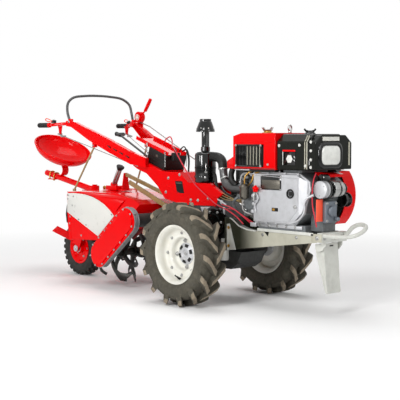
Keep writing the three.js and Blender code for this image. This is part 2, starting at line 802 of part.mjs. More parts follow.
const tankSection = (half, bottom, shoulder, top) => [
  [-half, bottom],
  [half, bottom],
  [half, shoulder],
  [half - 50, top],
  [50 - half, top],
  [-half, shoulder],
];
const tankRear = COVER_FRONT + GAP;
addPart("fuel_tank", prismX(
  tankSection(TANK_HALF_WIDTH, COVER_BOTTOM, TANK_SHOULDER, TANK_TOP), tankRear, TANK_FRONT - GAP,
), blackPaint);
addPart("headlight_housing", prismX(
  tankSection(LAMP_HALF_WIDTH, COVER_BOTTOM + 5, TANK_SHOULDER - 5, TANK_TOP - 6), TANK_FRONT, LAMP_FRONT,
), blackPaint);
const lensOutline = roundedRectangle(LENS_WIDTH, LENS_HEIGHT, 26);
addPart("headlight_lens", prismX(
  lensOutline.map(([y, z]) => [y + LENS_Y, z + LENS_Z]), LAMP_FRONT + GAP, LAMP_FRONT + 12,
), glass);

addPart("starter_motor", union(
  drum(ENGINE_FRONT + 54, 700, 44, -112, 86, 28),
  drum(ENGINE_FRONT + 46, 760, 22, 0, 80, 16),
  box([ENGINE_FRONT + GAP, ENGINE_FRONT + 30], [-40, 60], [672, 730]),
), blackPaint);

addPart("fuel_filter", union(
  rod([300, -157, 630], [300, -157, 724], 30, 24),
  box([284, 316], [-HEAD_HALF_WIDTH - 26, -HEAD_HALF_WIDTH - GAP], [668, 697]),
), silver);

addPart("muffler", union(
  rod([128, 150, 690], [330, 150, 690], 42, 24),
  box([262, 310], [HEAD_HALF_WIDTH + GAP, 130], [664, 698]),
), blackPaint);

// ---------------------------------------------------------------- air cleaner

const cleanerProfile = (growth) => [
  [0, CLEANER_BOTTOM - growth],
  [CLEANER_RADIUS - 10 + growth, CLEANER_BOTTOM - growth],
  [CLEANER_RADIUS + growth, CLEANER_BOTTOM + 10],
  [CLEANER_RADIUS + growth, CLEANER_TOP - 14],
  [CLEANER_RADIUS - 14 + growth, CLEANER_TOP + growth],
  [STACK_RADIUS + growth, CLEANER_TOP + growth],
  [STACK_RADIUS + growth, STACK_TOP - 10],
  [0, STACK_TOP - 10],
];
const atCleaner = (shape) => shape.translate([CLEANER_X, CLEANER_Y, 0]);
addPart("air_cleaner", atCleaner(turnedZ(cleanerProfile(0))), blackPaint);
addPart("rain_cap", atCleaner(turnedZ([
  [0, STACK_TOP - 10 + GAP],
  [STACK_RADIUS + 4, STACK_TOP - 10 + GAP],
  [STACK_RADIUS + 4, STACK_TOP],
  [CAP_RADIUS, STACK_TOP],
  [CAP_RADIUS, STACK_TOP + 8],
  [CAP_RADIUS * 0.56, CAP_TOP - 6],
  [CAP_RADIUS * 0.45, CAP_TOP],
  [0, CAP_TOP],
])), blackPaint);

const elbowJoint = [14, -57, 805];
const elbowPath = [
  [CLEANER_X + 30, CLEANER_Y, 868],
  [-60, -50, 872],
  [-18, -51, 862],
  [6, -54, 838],
  elbowJoint,
];
const elbow = tube(elbowPath, 29, 16, 14).subtract(atCleaner(turnedZ(cleanerProfile(GAP))));
addPart("intake_elbow", elbow, blackPaint);
const pipePath = [
  [elbowJoint[0] + 2, elbowJoint[1], elbowJoint[2] - 6],
  [26, -60, 760],
  [52, -70, 716],
  [108, -82, 692],
  [170, -88, 686],
  [HEAD_REAR - 2, -88, 684],
];
addPart("intake_pipe", tube(pipePath, 25, 20, 14), steel);

// ---------------------------------------------------------------- handlebars

const handleSlopeProfile = {
  top: [[0, 0], [-127, 42], [-303, 119], [-483, 190], [-539, 210], [-605, 237], [-640, 245]],
  bottom: [[-640, 204], [-598, 180], [-483, 114], [-303, 31], [-126, -42], [0, -58]],
};

// Where a point of the handlebar lies, from its distance back along the bar.
function onHandle(back, sign, up = 0) {
  return [
    HANDLE_FOOT[0] - back * Math.cos(HANDLE_SPLAY),
    sign * (HANDLE_FOOT[1] + back * Math.sin(HANDLE_SPLAY)),
    HANDLE_FOOT[2] + up,
  ];
}
const channelLength = (HANDLE_FOOT[0] - HANDLE_BACK) / Math.cos(HANDLE_SPLAY);

function handlebar() {
  const { top, bottom } = handleSlopeProfile;
  const end = [[-channelLength, 247], [-channelLength, 210]];
  const outline = [...top, ...end, ...bottom];
  const half = HANDLE_WIDTH / 2;
  const solidBar = prismY(outline, -half, half);
  const hollow = prismY(inset(outline, HANDLE_SHEET), -half - 5, half - HANDLE_SHEET);
  const channel = solidBar.subtract(hollow)
    .rotate([0, 0, (-HANDLE_SPLAY * 180) / Math.PI])
    .translate(HANDLE_FOOT[0], HANDLE_FOOT[1], HANDLE_FOOT[2]);
  const start = onHandle(channelLength - 40, 1, 228);
  const gripStart = GRIP_END[0] + GRIP_LENGTH;
  const grip = tube([
    start,
    onHandle(channelLength, 1, 228),
    [gripStart + 55, GRIP_END[1] - 28, GRIP_END[2] + 5],
    [gripStart, GRIP_END[1], GRIP_END[2]],
    [GRIP_END[0] + 40, GRIP_END[1], GRIP_END[2]],
    [GRIP_END[0] + 12, GRIP_END[1], GRIP_END[2]],
  ], GRIP_TUBE, 24);
  const endBlock = box([-channelLength - 4, -channelLength + 30], [-half + 1, half - 1], [212, 244])
    .rotate([0, 0, (-HANDLE_SPLAY * 180) / Math.PI])
    .translate(HANDLE_FOOT[0], HANDLE_FOOT[1], HANDLE_FOOT[2]);
  return union(channel, endBlock, grip);
}

function gripSleeve() {
  const [endX, y, z] = GRIP_END;
  const outer = rod([endX, y, z], [endX + GRIP_LENGTH, y, z], GRIP_RADIUS, 20);
  return outer;
}

const rightOrLeft = (shape, sign) => (sign > 0 ? shape : shape.mirror([0, 1, 0]));
const leftHandlebar = handlebar();
const leftGrip = gripSleeve().subtract(leftHandlebar);
for (const [side, sign] of SIDES) {
  addPart(`handlebar_${side}`, rightOrLeft(leftHandlebar, sign), red);
  addPart(`grip_${side}`, rightOrLeft(leftGrip, sign), blackRubber);
}

const hoopFoot = onHandle(channelLength - 14, 1, 247);
const hoopHalf = [
  [hoopFoot[0], hoopFoot[1] - 2, hoopFoot[2] + HOOP_TUBE * 0.3],
  [-1296, 279, 1165],
  [-1306, 268, 1222],
  [-1320, 215, HOOP_TOP - 20],
  [-1332, 110, HOOP_TOP - 4],
];
addPart("handle_hoop", tube(
  [...hoopHalf, [-1334, 0, HOOP_TOP], ...mirrored(hoopHalf)], HOOP_TUBE, 48, 8,
), steel);

// ---------------------------------------------------------------- levers

const leverPivot = [-1202, 280, 1134];
function clutchLever() {
  const [x, y, z] = leverPivot;
  return union(
    drum(x, z, 40, y - 16, y + 16, 28),
    box([x - 22, x + 22], [y + 3, y + 14], [z - 90, z - 20]),
    rod([x, y, z], [x + 68, y, z + 50], 6, 10),
    rod([x + 62, y, z + 44], [x + 121, y, z + 124], 12, 14),
  );
}
addPart("clutch_lever", clutchLever(), red);

addPart("gear_lever", union(
  rod([-736, -30, 848], [-736, -30, 872], 18, 16),
  rod([-736, -30, 862], [-1030, -30, 1006], 7, 10),
  rod([-1034, -66, 1010], [-1034, 6, 1010], 11, 12),
), steel);

// ---------------------------------------------------------------- rotary tiller

const hoodOutline = [
  [HOOD_REAR, HOOD_TOP - 20],
  [HOOD_REAR + 30, HOOD_TOP - 6],
  [HOOD_REAR + 130, HOOD_TOP],
  [-850, HOOD_TOP - 6],
  [-700, HOOD_TOP - 44],
  [-640, HOOD_TOP - 70],
  [-640, HOOD_TOP - 116],
  [-700, 440],
  [-760, 330],
  [-984, 308],
  [HOOD_REAR + 24, 293],
  [HOOD_REAR + 8, 400],
];

// The wedge that slopes the hood's shoulder down to the front of its side sheet.
function shoulderCut(wall) {
  const half = TILLER_HALF_WIDTH;
  const a = new THREE.Vector3(-1080, -half, HOOD_TOP - 12);
  const b = new THREE.Vector3(-756, -half, 491);
  const c = new THREE.Vector3(-756, -half + 110, HOOD_TOP - 34);
  const along = b.clone().sub(a).normalize();
  const up = along.clone().cross(c.clone().sub(a)).normalize();
  if (up.z < 0) up.negate();
  const across = up.clone().cross(along);
  const geometry = new THREE.BoxGeometry(1600, 900, 300);
  geometry.translate(0, 0, 150 - wall);
  geometry.applyMatrix4(new THREE.Matrix4().makeBasis(along, across, up));
  geometry.translate(b.x, b.y, b.z);
  return solid(geometry);
}

function tillerHood() {
  const half = TILLER_HALF_WIDTH;
  const innerHalf = half - HOOD_SHEET;
  const cut = (shape, wall) => {
    const wedge = shoulderCut(wall);
    return shape.subtract(wedge).subtract(wedge.mirror([0, 1, 0]));
  };
  const outside = cut(prismY(hoodOutline, -half, half), 0);
  const inside = cut(prismY(inset(hoodOutline, HOOD_SHEET), -innerHalf, innerHalf), HOOD_SHEET);
  const openBelow = box([HOOD_REAR - 50, -500], [-innerHalf, innerHalf], [150, 475]);
  const openFront = box([-720, -500], [-innerHalf, innerHalf], [430, HOOD_TOP - 115]);
  const sideArm = prismY(armOutline(CASE_RADIUS - 25), innerHalf + 1, half + 12);
  return union(outside.subtract(inside).subtract(openBelow).subtract(openFront), sideArm);
}

// The outline of an arm with a round end at the cross tube and one at the rotor.
function armOutline(radius) {
  const slope = Math.atan2(CROSS_TUBE_Z - ROTOR_Z, CROSS_TUBE_X - ROTOR_X);
  return [
    ...arc(CROSS_TUBE_X, CROSS_TUBE_Z, radius, slope - Math.PI / 2, slope + Math.PI / 2, 14),
    ...arc(ROTOR_X, ROTOR_Z, radius, slope + Math.PI / 2, slope + 1.5 * Math.PI, 14),
  ];
}
addPart("tiller_hood", tillerHood(), red);
const caseInside = -TILLER_HALF_WIDTH - GAP;
addPart("chain_case", prismY(armOutline(CASE_RADIUS), caseInside - CASE_DEPTH, caseInside), castGrey);
const lidInside = caseInside - CASE_DEPTH - GAP;
addPart("chain_case_cover", union(
  prismY(armOutline(CASE_RADIUS), lidInside - 4, lidInside),
  prismY(armOutline(CASE_RADIUS - 16), lidInside - CASE_LID, lidInside),
), red);
addPart("tiller_gearcase", union(
  box([CROSS_TUBE_X - 30, GEARBOX_REAR - GAP], [-70, 70], [CROSS_TUBE_Z - 55, CROSS_TUBE_Z + 62]),
  drum(CROSS_TUBE_X, CROSS_TUBE_Z, CROSS_TUBE_RADIUS, caseInside + GAP, TILLER_HALF_WIDTH - HOOD_SHEET + 1 - GAP, 24),
), castGrey);

function rotorBlade(angle, y, sign) {
  const reach = ROTOR_RADIUS;
  const outline = [
    [0, -20],
    [70, -26],
    [130, -14],
    [reach - 26, 22],
    [reach - 14, 52],
    [reach - 46, 34],
    [120, 18],
    [60, 12],
    [0, 20],
  ];
  const blade = prismY(outline, -5, 5);
  const tip = box([reach - 46, reach - 34], [0, 42], [26, 62])
    .add(box([reach - 34, reach - 26], [0, 42], [40, 62]));
  const whole = union(blade, sign > 0 ? tip : tip.mirror([0, 1, 0]));
  return whole.rotate([0, (-angle * 180) / Math.PI, 0]).translate(ROTOR_X, y, ROTOR_Z);
}

function tillerRotor() {
  const half = TILLER_HALF_WIDTH - HOOD_SHEET - PIN_PLAY;
  const stations = [-240, -160, -80, 0, 80, 160, 240];
  const blades = stations.flatMap((y, i) => [0, 1].flatMap((k) => {
    const angle = i * 0.62 + k * Math.PI;
    const sign = k === 0 ? 1 : -1;
    return [rotorBlade(angle, y, i === stations.length - 1 ? -1 : i === 0 ? 1 : sign)];
  }));
  const hubs = stations.map((y) => drum(ROTOR_X, ROTOR_Z, 44, y - 7, y + 7, 16));
  return union(drum(ROTOR_X, ROTOR_Z, ROTOR_TUBE, -half, half, 20), ...hubs, ...blades);
}
addPart("tiller_rotor", tillerRotor(), bladeSteel);

const flapOutline = [
  [HOOD_REAR - 2, 566],
  [HOOD_REAR - 24, 520],
  [HOOD_REAR - 36, 464],
  [HOOD_REAR - 26, 404],
  [HOOD_REAR - 20, 404],
  [HOOD_REAR - 30, 464],
  [HOOD_REAR - 18, 518],
  [HOOD_REAR - GAP, 556],
];
addPart("rear_flap", prismY(flapOutline, -282, 282)
  .subtract(box([HOOD_REAR - 60, HOOD_REAR], [-110, 110], [380, 480])), blackRubber);

// ---------------------------------------------------------------- linkage on the hood

const hoodRoof = HOOD_TOP + GAP;
addPart("link_tower", union(
  prismX([[-34, hoodRoof], [34, hoodRoof], [14, 748], [-14, 748]], -1017, -1009),
  box([-1052, -984], [-34, 34], [hoodRoof, hoodRoof + 8]),
), red);
addPart("link_bar_upper", flatBar([-1003, 0, 737], [-424, 0, 572], 12, 26)
  .subtract(box([GEARBOX_REAR + 60, 0], [-60, 60], [0, 900]))
  .subtract(prismY([
    [GEARBOX_REAR - GAP, 0],
    [GEARBOX_REAR - GAP, GEARBOX_TOP - 45 + GAP],
    [GEARBOX_REAR + 60, GEARBOX_TOP + 1],
    [GEARBOX_REAR + 200, GEARBOX_TOP + 1],
    [GEARBOX_REAR + 200, 0],
  ], -80, 80)), tan);
addPart("link_bar_lower", flatBar([-905, -52, 690], [-460, -52, 524], 12, 30)
  .subtract(box([CROSS_TUBE_X - 31, 0], [-90, 90], [0, CROSS_TUBE_Z + 62 + GAP])), tan);

addPart("depth_screw", union(
  box([-1180, -1064], [-40, 40], [hoodRoof, hoodRoof + 30]),
  rod([-1240, -14, hoodRoof + 14], [-1178, -14, hoodRoof + 14], 9, 12),
  rod([-1144, 0, 656], [-1080, 0, 768], 17, 18),
  rod([-1080, 0, 767], [-1072, 0, 784], 28, 20),
), steel);

for (const [side, sign] of SIDES) {
  const top = onHandle(442, sign, 0);
  addPart(`strut_rod_${side}`, union(
    rod([top[0], top[1], 934], [-1236, sign * 268, hoodRoof + 8], 6, 10),
    rod([-1236, sign * 268, hoodRoof - 2], [-1236, sign * 268, hoodRoof + 14], 12, 12),
  ).subtract(prismY(hoodOutline.map(([x, z]) => [x, z + GAP]), -300, 300)), steel);
}

// ---------------------------------------------------------------- seat and tail wheel

const beamZ = (x) => BEAM_REAR_Z + (x - BEAM_REAR) * BEAM_SLOPE;
const swivelBottom = 566;
const swivelTop = beamZ(TAIL_STEM_X) + 34;

function tailBracket() {
  const boss = rod([TAIL_STEM_X, 0, swivelBottom], [TAIL_STEM_X, 0, swivelTop], 32, 24);
  const web = box([TAIL_STEM_X, HOOD_REAR - GAP], [-40, 40], [570, HOOD_TOP - 24]);
  const bore = rod(
    [TAIL_STEM_X, 0, swivelBottom - 5], [TAIL_STEM_X, 0, swivelTop + 5], TAIL_STEM_RADIUS + PIN_PLAY, 24,
  );
  return union(boss, web).subtract(bore);
}

function seatSpring() {
  const foot = -1806;
  const low = beamZ(foot) + BEAM_RADIUS - 10;
  const radius = (796 - low) / 2;
  const z = low + radius;
  const outer = arc(foot + 40, z, radius, -Math.PI / 2, Math.PI / 2, 10);
  const inner = arc(foot + 40, z, radius - 6, Math.PI / 2, -Math.PI / 2, 10);
  return prismY([
    [foot - 10, low], ...outer, [foot + 4, z + radius], [foot + 4, z + radius - 6], ...inner,
    [foot - 10, low + 6],
  ], -26, 26);
}

function seatPan() {
  const dish = (wall) => {
    const geometry = new THREE.SphereGeometry(1, 32, 20);
    geometry.scale(SEAT_LENGTH - wall, SEAT_HALF_WIDTH - wall, SEAT_DEPTH - wall);
    return solid(geometry);
  };
  const above = box([-400, 400], [-400, 400], [0, 400]);
  const half = dish(0).subtract(dish(SEAT_WALL)).subtract(above);
  const placed = new THREE.Matrix4().makeRotationY(SEAT_TILT);
  placed.setPosition(SEAT_X, 0, SEAT_Z);
  return half.transform(placed.toArray());
}
const pan = seatPan();
addPart("seat_pan", pan, red);

function seatBeam() {
  const bar = rod(
    [BEAM_REAR, 0, beamZ(BEAM_REAR)], [TAIL_STEM_X - 26, 0, beamZ(TAIL_STEM_X - 26)], BEAM_RADIUS, 18,
  );
  const spring = seatSpring().subtract(pan.translate([0, 0, -GAP]));
  return union(tailBracket(), bar, spring);
}
addPart("seat_beam", seatBeam(), red);

const tailAxle = [TAIL_STEM_X - TAIL_TRAIL, 0, TAIL_RADIUS];
const tailWheel = new THREE.Group();
tailWheel.position.set(...tailAxle);
tractor.add(tailWheel);

const tailSeat = TAIL_RIM_RADIUS - 12;
const tailSeatWidth = TAIL_WIDTH - 28;
addPart("tail_tyre", tyreShape(
  TAIL_RADIUS, TAIL_WIDTH, tailSeat + GAP, tailSeatWidth - 2 * GAP, 36,
), tyreRubber, tailWheel);

const forkInside = TAIL_WIDTH / 2 + TAIL_CLEAR;
function tailRim() {
  const half = tailSeatWidth / 2;
  const hub = TAIL_WIDTH / 2 + 2;
  const stub = forkInside - PIN_PLAY;
  const outside = [
    [0, stub],
    [12, stub],
    [12, hub],
    [32, hub],
    [32, half - 22],
    [tailSeat - 16, half - 22],
    [tailSeat - 6, half + 5],
    [TAIL_RIM_RADIUS, half + 5],
    [TAIL_RIM_RADIUS, half],
    [tailSeat, half],
  ];
  const inside = [...outside].reverse().map(([r, y]) => [r, -y]);
  return turnedY([...outside, ...inside], 36);
}
addPart("tail_rim", tailRim(), red, tailWheel);

function tailFork() {
  const [ax, , az] = tailAxle;
  const crownBottom = TAIL_RADIUS * 2 + 12;
  const crownTop = crownBottom + 16;
  const thick = 8;
  const blade = (sign) => {
    const faces = [sign * forkInside, sign * (forkInside + thick)].sort((p, q) => p - q);
    return prismY([
      [TAIL_STEM_X + 26, crownTop],
      [TAIL_STEM_X - 60, crownTop],
      ...arc(ax, az, 24, Math.PI * 0.95, Math.PI * 1.95, 8),
    ], ...faces);
  };
  const crownHalf = forkInside + thick;
  const crown = box([TAIL_STEM_X - 60, TAIL_STEM_X + 26], [-crownHalf, crownHalf], [crownBottom, crownTop]);
  const stem = rod([TAIL_STEM_X, 0, crownBottom], [TAIL_STEM_X, 0, swivelTop + 8], TAIL_STEM_RADIUS, 20);
  const collar = rod(
    [TAIL_STEM_X, 0, crownTop - 1], [TAIL_STEM_X, 0, swivelBottom - PIN_PLAY], 27, 20,
  );
  const pedal = (sign) => {
    const plate = box([-36, 36], [0, 178], [-thick / 2, thick / 2])
      .rotate([FOOT_REST_RISE, -30, 0])
      .translate([-1516, forkInside, 258]);
    return rightOrLeft(plate, sign);
  };
  const pedalArm = (sign) => {
    const faces = [sign * forkInside, sign * (forkInside + thick)].sort((p, q) => p - q);
    return prismY([[-1554, 226], [-1472, 232], [-1440, 300], [-1554, 268]], ...faces);
  };
  return union(
    blade(-1), blade(1), crown, stem, collar, pedal(-1), pedal(1), pedalArm(-1), pedalArm(1),
  );
}
addPart("tail_fork", tailFork(), red);

// ---------------------------------------------------------------- placing

const frontEnd = BUMPER_REACH + BUMPER_TUBE;
tractor.position.x = -(frontEnd + BEAM_REAR) / 2;
const scene = new THREE.Group();
scene.add(tractor);

export default scene;
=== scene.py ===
"""The looks of a walking tractor with a riding tiller, around its CAD frame.

Sizes are in millimetres in the CAD's own axes (X forwards, Y left, Z up), counted along X
from the main axle; at() turns them into metres in the row frame.
"""

import math

import bmesh
import bpy
from mathutils import Matrix, Vector


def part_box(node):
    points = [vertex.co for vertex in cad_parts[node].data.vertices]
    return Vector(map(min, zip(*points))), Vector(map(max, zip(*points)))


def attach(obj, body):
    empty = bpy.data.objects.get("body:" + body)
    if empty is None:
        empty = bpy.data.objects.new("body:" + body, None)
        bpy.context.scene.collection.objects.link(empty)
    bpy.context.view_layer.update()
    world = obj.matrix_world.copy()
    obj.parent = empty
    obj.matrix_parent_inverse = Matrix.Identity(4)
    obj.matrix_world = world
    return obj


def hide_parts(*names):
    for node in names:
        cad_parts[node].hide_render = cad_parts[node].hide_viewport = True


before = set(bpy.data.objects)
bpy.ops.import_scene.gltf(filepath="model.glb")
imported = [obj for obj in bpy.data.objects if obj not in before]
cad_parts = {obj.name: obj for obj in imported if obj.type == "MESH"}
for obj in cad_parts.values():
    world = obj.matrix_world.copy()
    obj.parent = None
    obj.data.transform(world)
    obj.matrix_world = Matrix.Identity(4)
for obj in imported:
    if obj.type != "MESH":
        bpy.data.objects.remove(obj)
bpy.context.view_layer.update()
PI = math.pi
SIDES = (("right", -1), ("left", 1))
RIGHT, LEFT, UP, AHEAD = (0, -1, 0), (0, 1, 0), (0, 0, 1), (1, 0, 0)


# ------------------------------------------------------------------ places

AXLE_X = (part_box("tyre_right")[0][0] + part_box("tyre_right")[1][0]) / 2


def limits(node):
    """(lowest, highest) corner of a CAD node in millimetres from the main axle."""
    return [(Vector(corner) - Vector((AXLE_X, 0, 0))) * 1000 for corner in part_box(node)]


def middle(node):
    low, high = limits(node)
    return (low + high) / 2


def at(x, y, z):
    return Vector((x / 1000 + AXLE_X, y / 1000, z / 1000))


# ------------------------------------------------------------------ materials


def srgb(*channels):
    """A colour written as it shows, as the linear colour that the shaders take."""

    def linear(value):
        value /= 255
        return value / 12.92 if value <= 0.04045 else ((value + 0.055) / 1.055) ** 2.4

    return tuple(linear(value) for value in channels) + (1.0,)


def tone(colour, factor):
    return tuple(min(1.0, channel * factor) for channel in colour[:3]) + (1.0,)


class Nodes:
    """A short way to write a node tree."""

    def __init__(self, name):
        self.material = bpy.data.materials.new(name)
        self.material.use_nodes = True
        self.tree = self.material.node_tree
        self.shader = self.tree.nodes["Principled BSDF"]
        self.place = self.add("ShaderNodeTexCoord").outputs["Object"]

    def add(self, kind, **values):
        node = self.tree.nodes.new(kind)
        for key, value in values.items():
            if hasattr(node, key):
                setattr(node, key, value)
            else:
                node.inputs[key.replace("_", " ")].default_value = value
        return node

    def link(self, source, target):
        self.tree.links.new(source, target)

    def noise(self, scale, detail=3.0, rough=0.55):
        node = self.add("ShaderNodeTexNoise", Scale=scale, Detail=detail, Roughness=rough)
        self.link(self.place, node.inputs["Vector"])
        return node.outputs["Fac"]

    def span(self, value, low, high, to_low, to_high):
        node = self.add("ShaderNodeMapRange", From_Min=low, From_Max=high, To_Min=to_low, To_Max=to_high)
        self.link(value, node.inputs["Value"])
        return node.outputs["Result"]

    def mix(self, amount, first, second):
        node = self.add("ShaderNodeMix", data_type="RGBA")
        self.link(amount, node.inputs["Factor"])
        for socket, colour in ((node.inputs[6], first), (node.inputs[7], second)):
            if isinstance(colour, tuple):
                socket.default_value = colour
            else:
                self.link(colour, socket)
        return node.outputs[2]

    def bump(self, height, strength, distance):
        node = self.add("ShaderNodeBump", Strength=strength, Distance=distance)
        self.link(height, node.inputs["Height"])
        self.link(node.outputs["Normal"], self.shader.inputs["Normal"])

    def into(self, socket, source):
        self.link(source, self.shader.inputs[socket])

    def set(self, socket, value):
        self.shader.inputs[socket].default_value = value


def surface(name, colour, rough, metal=0.0, coat=0.0, vary=0.1, grain=0.02, grain_scale=900,
            patch_scale=7, dust=None, dust_amount=0.3, shine=0.5, painted_shade=None):
    """Paint, casting or plastic: patches of tone, fine grain, and dust if asked.

    The last argument is a colour of painted shade, with the two places along X between which it fades out.
    """
    nodes = Nodes(name)
    patches = nodes.span(nodes.noise(patch_scale), 0.3, 0.7, 0, 1)
    base = nodes.mix(patches, tone(srgb(*colour), 1 - vary), tone(srgb(*colour), 1 + vary))
    if dust:
        cloud = nodes.span(nodes.noise(patch_scale * 2.3, 6, 0.7), 0.45, 0.75, 0, dust_amount)
        base = nodes.mix(cloud, base, srgb(*dust))
    # painted shade: the colour darkens towards one end along X
    if painted_shade:
        apart = nodes.add("ShaderNodeSeparateXYZ")
        nodes.link(nodes.place, apart.inputs[0])
        dark, full, none = painted_shade
        fade = nodes.span(apart.outputs["X"], at(full, 0, 0).x, at(none, 0, 0).x, 1, 0)
        base = nodes.mix(fade, base, srgb(*dark))
    nodes.into("Base Color", base)
    nodes.into("Roughness", nodes.span(nodes.noise(patch_scale * 5, 4), 0.3, 0.7, rough * 0.85, rough * 1.2))
    if grain:
        nodes.bump(nodes.noise(grain_scale, 2), min(1, grain * 12), grain / 1000)
    nodes.set("Metallic", metal)
    nodes.set("Specular IOR Level", shine)
    nodes.set("Coat Weight", coat)
    nodes.set("Coat Roughness", 0.08)
    return nodes.material


def brushed(name, colour, rough):
    """Bare metal with fine drawn lines."""
    nodes = Nodes(name)
    stretch = nodes.add("ShaderNodeMapping", Scale=(20, 20, 900))
    nodes.link(nodes.place, stretch.inputs["Vector"])
    lines = nodes.add("ShaderNodeTexNoise", Scale=1.0, Detail=2.0)
    nodes.link(stretch.outputs["Vector"], lines.inputs["Vector"])
    line = lines.outputs["Fac"]
    nodes.into("Base Color", nodes.mix(line, tone(srgb(*colour), 0.8), tone(srgb(*colour), 1.15)))
    nodes.into("Roughness", nodes.span(line, 0.3, 0.7, rough * 0.7, rough * 1.4))
    nodes.set("Metallic", 0.9)
    return nodes.material


RED = surface("red_enamel", (226, 0, 4), 0.12, vary=0.03, grain=0, shine=0.1)
DARK_RED = surface("dark_red_paint", (120, 16, 20), 0.45, vary=0.12)
CABLE_RED = surface("cable_red", (196, 34, 52), 0.4, vary=0.06)
FRAME_PAINT = surface("frame_paint", (178, 175, 158), 0.42, vary=0.08, dust=(120, 112, 92), dust_amount=0.35)
STAND_PAINT = surface("stand_paint", (202, 203, 196), 0.4, vary=0.06, dust=(140, 138, 126))
CREAM = surface("wheel_cream", (221, 220, 211), 0.33, coat=0.15, vary=0.03, dust=(205, 196, 172),
                dust_amount=0.35, patch_scale=9)
TYRE = surface("tyre_rubber", (66, 63, 53), 0.8, vary=0.16, grain=0.1, grain_scale=700,
               dust=(104, 97, 83), dust_amount=0.5, patch_scale=12)
TREAD = surface("tread_dust", (138, 126, 108), 0.85, vary=0.16, grain=0.12, grain_scale=500,
                dust=(86, 80, 70), dust_amount=0.7, patch_scale=22)
TAIL_RUBBER = surface("tail_rubber", (26, 27, 23), 0.75, vary=0.2, grain=0.1, grain_scale=700)
RUBBER = surface("black_rubber", (18, 18, 17), 0.5, vary=0.15, grain=0.05, shine=0.3)
CAST = surface("cast_grey", (108, 112, 114), 0.55, metal=0.35, vary=0.15, grain=0.16, grain_scale=420,
               dust=(66, 64, 58), dust_amount=0.5, patch_scale=14)
DARK_CAST = surface("cast_dark", (50, 51, 50), 0.55, metal=0.2, vary=0.18, grain=0.16, grain_scale=420,
                    dust=(30, 29, 27), dust_amount=0.6, patch_scale=16)
CASE_GREY = surface("case_grey", (142, 145, 147), 0.42, metal=0.3, grain=0.12, grain_scale=480,
                    dust=(96, 97, 96), dust_amount=0.5, patch_scale=24)
SILVER = surface("silver_cast", (190, 191, 194), 0.38, metal=0.45, vary=0.05, grain=0.1,
                 grain_scale=520, dust=(128, 126, 120), dust_amount=0.25, patch_scale=11)
BLACK = surface("black_enamel", (5, 6, 5), 0.1, grain=0, shine=0.3, coat=0.35)
TANK = surface("tank_black", (20, 22, 17), 0.2, grain=0.004, grain_scale=300, shine=0.2)
PLASTIC = surface("black_plastic", (15, 16, 14), 0.4, vary=0.12, grain=0.08, grain_scale=800, shine=0.3)
TAN = surface("tan_paint", (150, 128, 84), 0.35, vary=0.15, dust=(96, 78, 46), dust_amount=0.4)
WHITE = surface("white_enamel", (214, 214, 208), 0.3, coat=0.3, vary=0.02)
ORANGE = surface("orange_plastic", (250, 84, 50), 0.4, vary=0.05)
BRASS = surface("brass", (186, 142, 66), 0.35, metal=0.9, vary=0.15, grain=0.03)
BLUE_GREY = surface("blue_grey_cast", (108, 115, 124), 0.45, metal=0.3, grain=0.1, grain_scale=500)
STEEL = brushed("plated_steel", (172, 172, 170), 0.28)
DARK_STEEL = brushed("dark_steel", (92, 92, 92), 0.4)
BLADE = surface("blade_steel", (36, 37, 36), 0.42, metal=0.5, vary=0.25, grain=0.08,
                dust=(84, 74, 62), dust_amount=0.35, patch_scale=18)
LENS = surface("lamp_lens", (226, 227, 221), 0.08, coat=1.0, vary=0.12, grain=0.3, grain_scale=120,
               patch_scale=28)
SMOKED = brushed("smoked_steel", (104, 100, 92), 0.3)
# painted shade darkens the frame towards the clutch, where the rails lie in shadow
RAIL_PAINT = surface("rail_paint_shaded", (180, 178, 162), 0.4, vary=0.06, dust=(132, 126, 106),
                     painted_shade=((44, 46, 33), 210, 400))


# ------------------------------------------------------------------ mesh helpers


def basis(direction):
    """A turn that takes Z to the direction."""
    return Vector(UP).rotation_difference(Vector(direction).normalized()).to_matrix()


def spline(points, samples):
    """Points along a smooth curve through those given (Catmull-Rom)."""
    points = [Vector(p) for p in points]
    if len(points) == 2 or samples <= 1:
        return points
    ends = [points[0] * 2 - points[1]] + points + [points[-1] * 2 - points[-2]]
    path = []
    for a, b, c, d in zip(ends, ends[1:], ends[2:], ends[3:]):
        for i in range(samples):
            t = i / samples
            bend = (2 * a - 5 * b + 4 * c - d) * t * t + (3 * b - a - 3 * c + d) * t ** 3
            path.append(0.5 * (2 * b + (c - a) * t + bend))
    return path + [points[-1]]


def arc(x, z, radius, start, end, steps):
    """Points of a circular arc; the angles are in degrees."""
    angles = [math.radians(start + (end - start) * i / steps) for i in range(steps + 1)]
    return [(x + radius * math.cos(a), z + radius * math.sin(a)) for a in angles]


def ring_of(count, radius, start=0.0):
    angles = [start + 2 * PI * i / count for i in range(count)]
    return [(radius * math.cos(a), radius * math.sin(a)) for a in angles]


def ball(radius, steps=6):
    angles = [PI * i / steps for i in range(steps + 1)]
    return [(radius * math.sin(a), -radius * math.cos(a)) for a in angles]


def stadium(first, second, radius, steps):
    """Points round two circles of the same radius and the straight sides between them, in X and Z."""
    along = math.degrees(math.atan2(second[1] - first[1], second[0] - first[0]))
    return (arc(*first, radius, along + 90, along + 270, steps)
            + arc(*second, radius, along - 90, along + 90, steps))


def spaced(outline, count, start=0.5):
    """Points at even steps round a closed outline in X and Z."""
    loop = [Vector(point) for point in outline] + [Vector(outline[0])]
    sides = [(a, b, (b - a).length) for a, b in zip(loop, loop[1:])]
    total = sum(length for _, _, length in sides)
    found = []
    for i in range(count):
        left = (i + start) / count * total
        for a, b, length in sides:
            if left <= length:
                found.append(tuple(a.lerp(b, left / length)))
                break
            left -= length
    return found


def mirrored(profile):
    """A tyre's half profile up to its middle line, with the other half, closed."""
    return profile + [(r, -y) for r, y in reversed(profile[:-1])] + profile[:1]


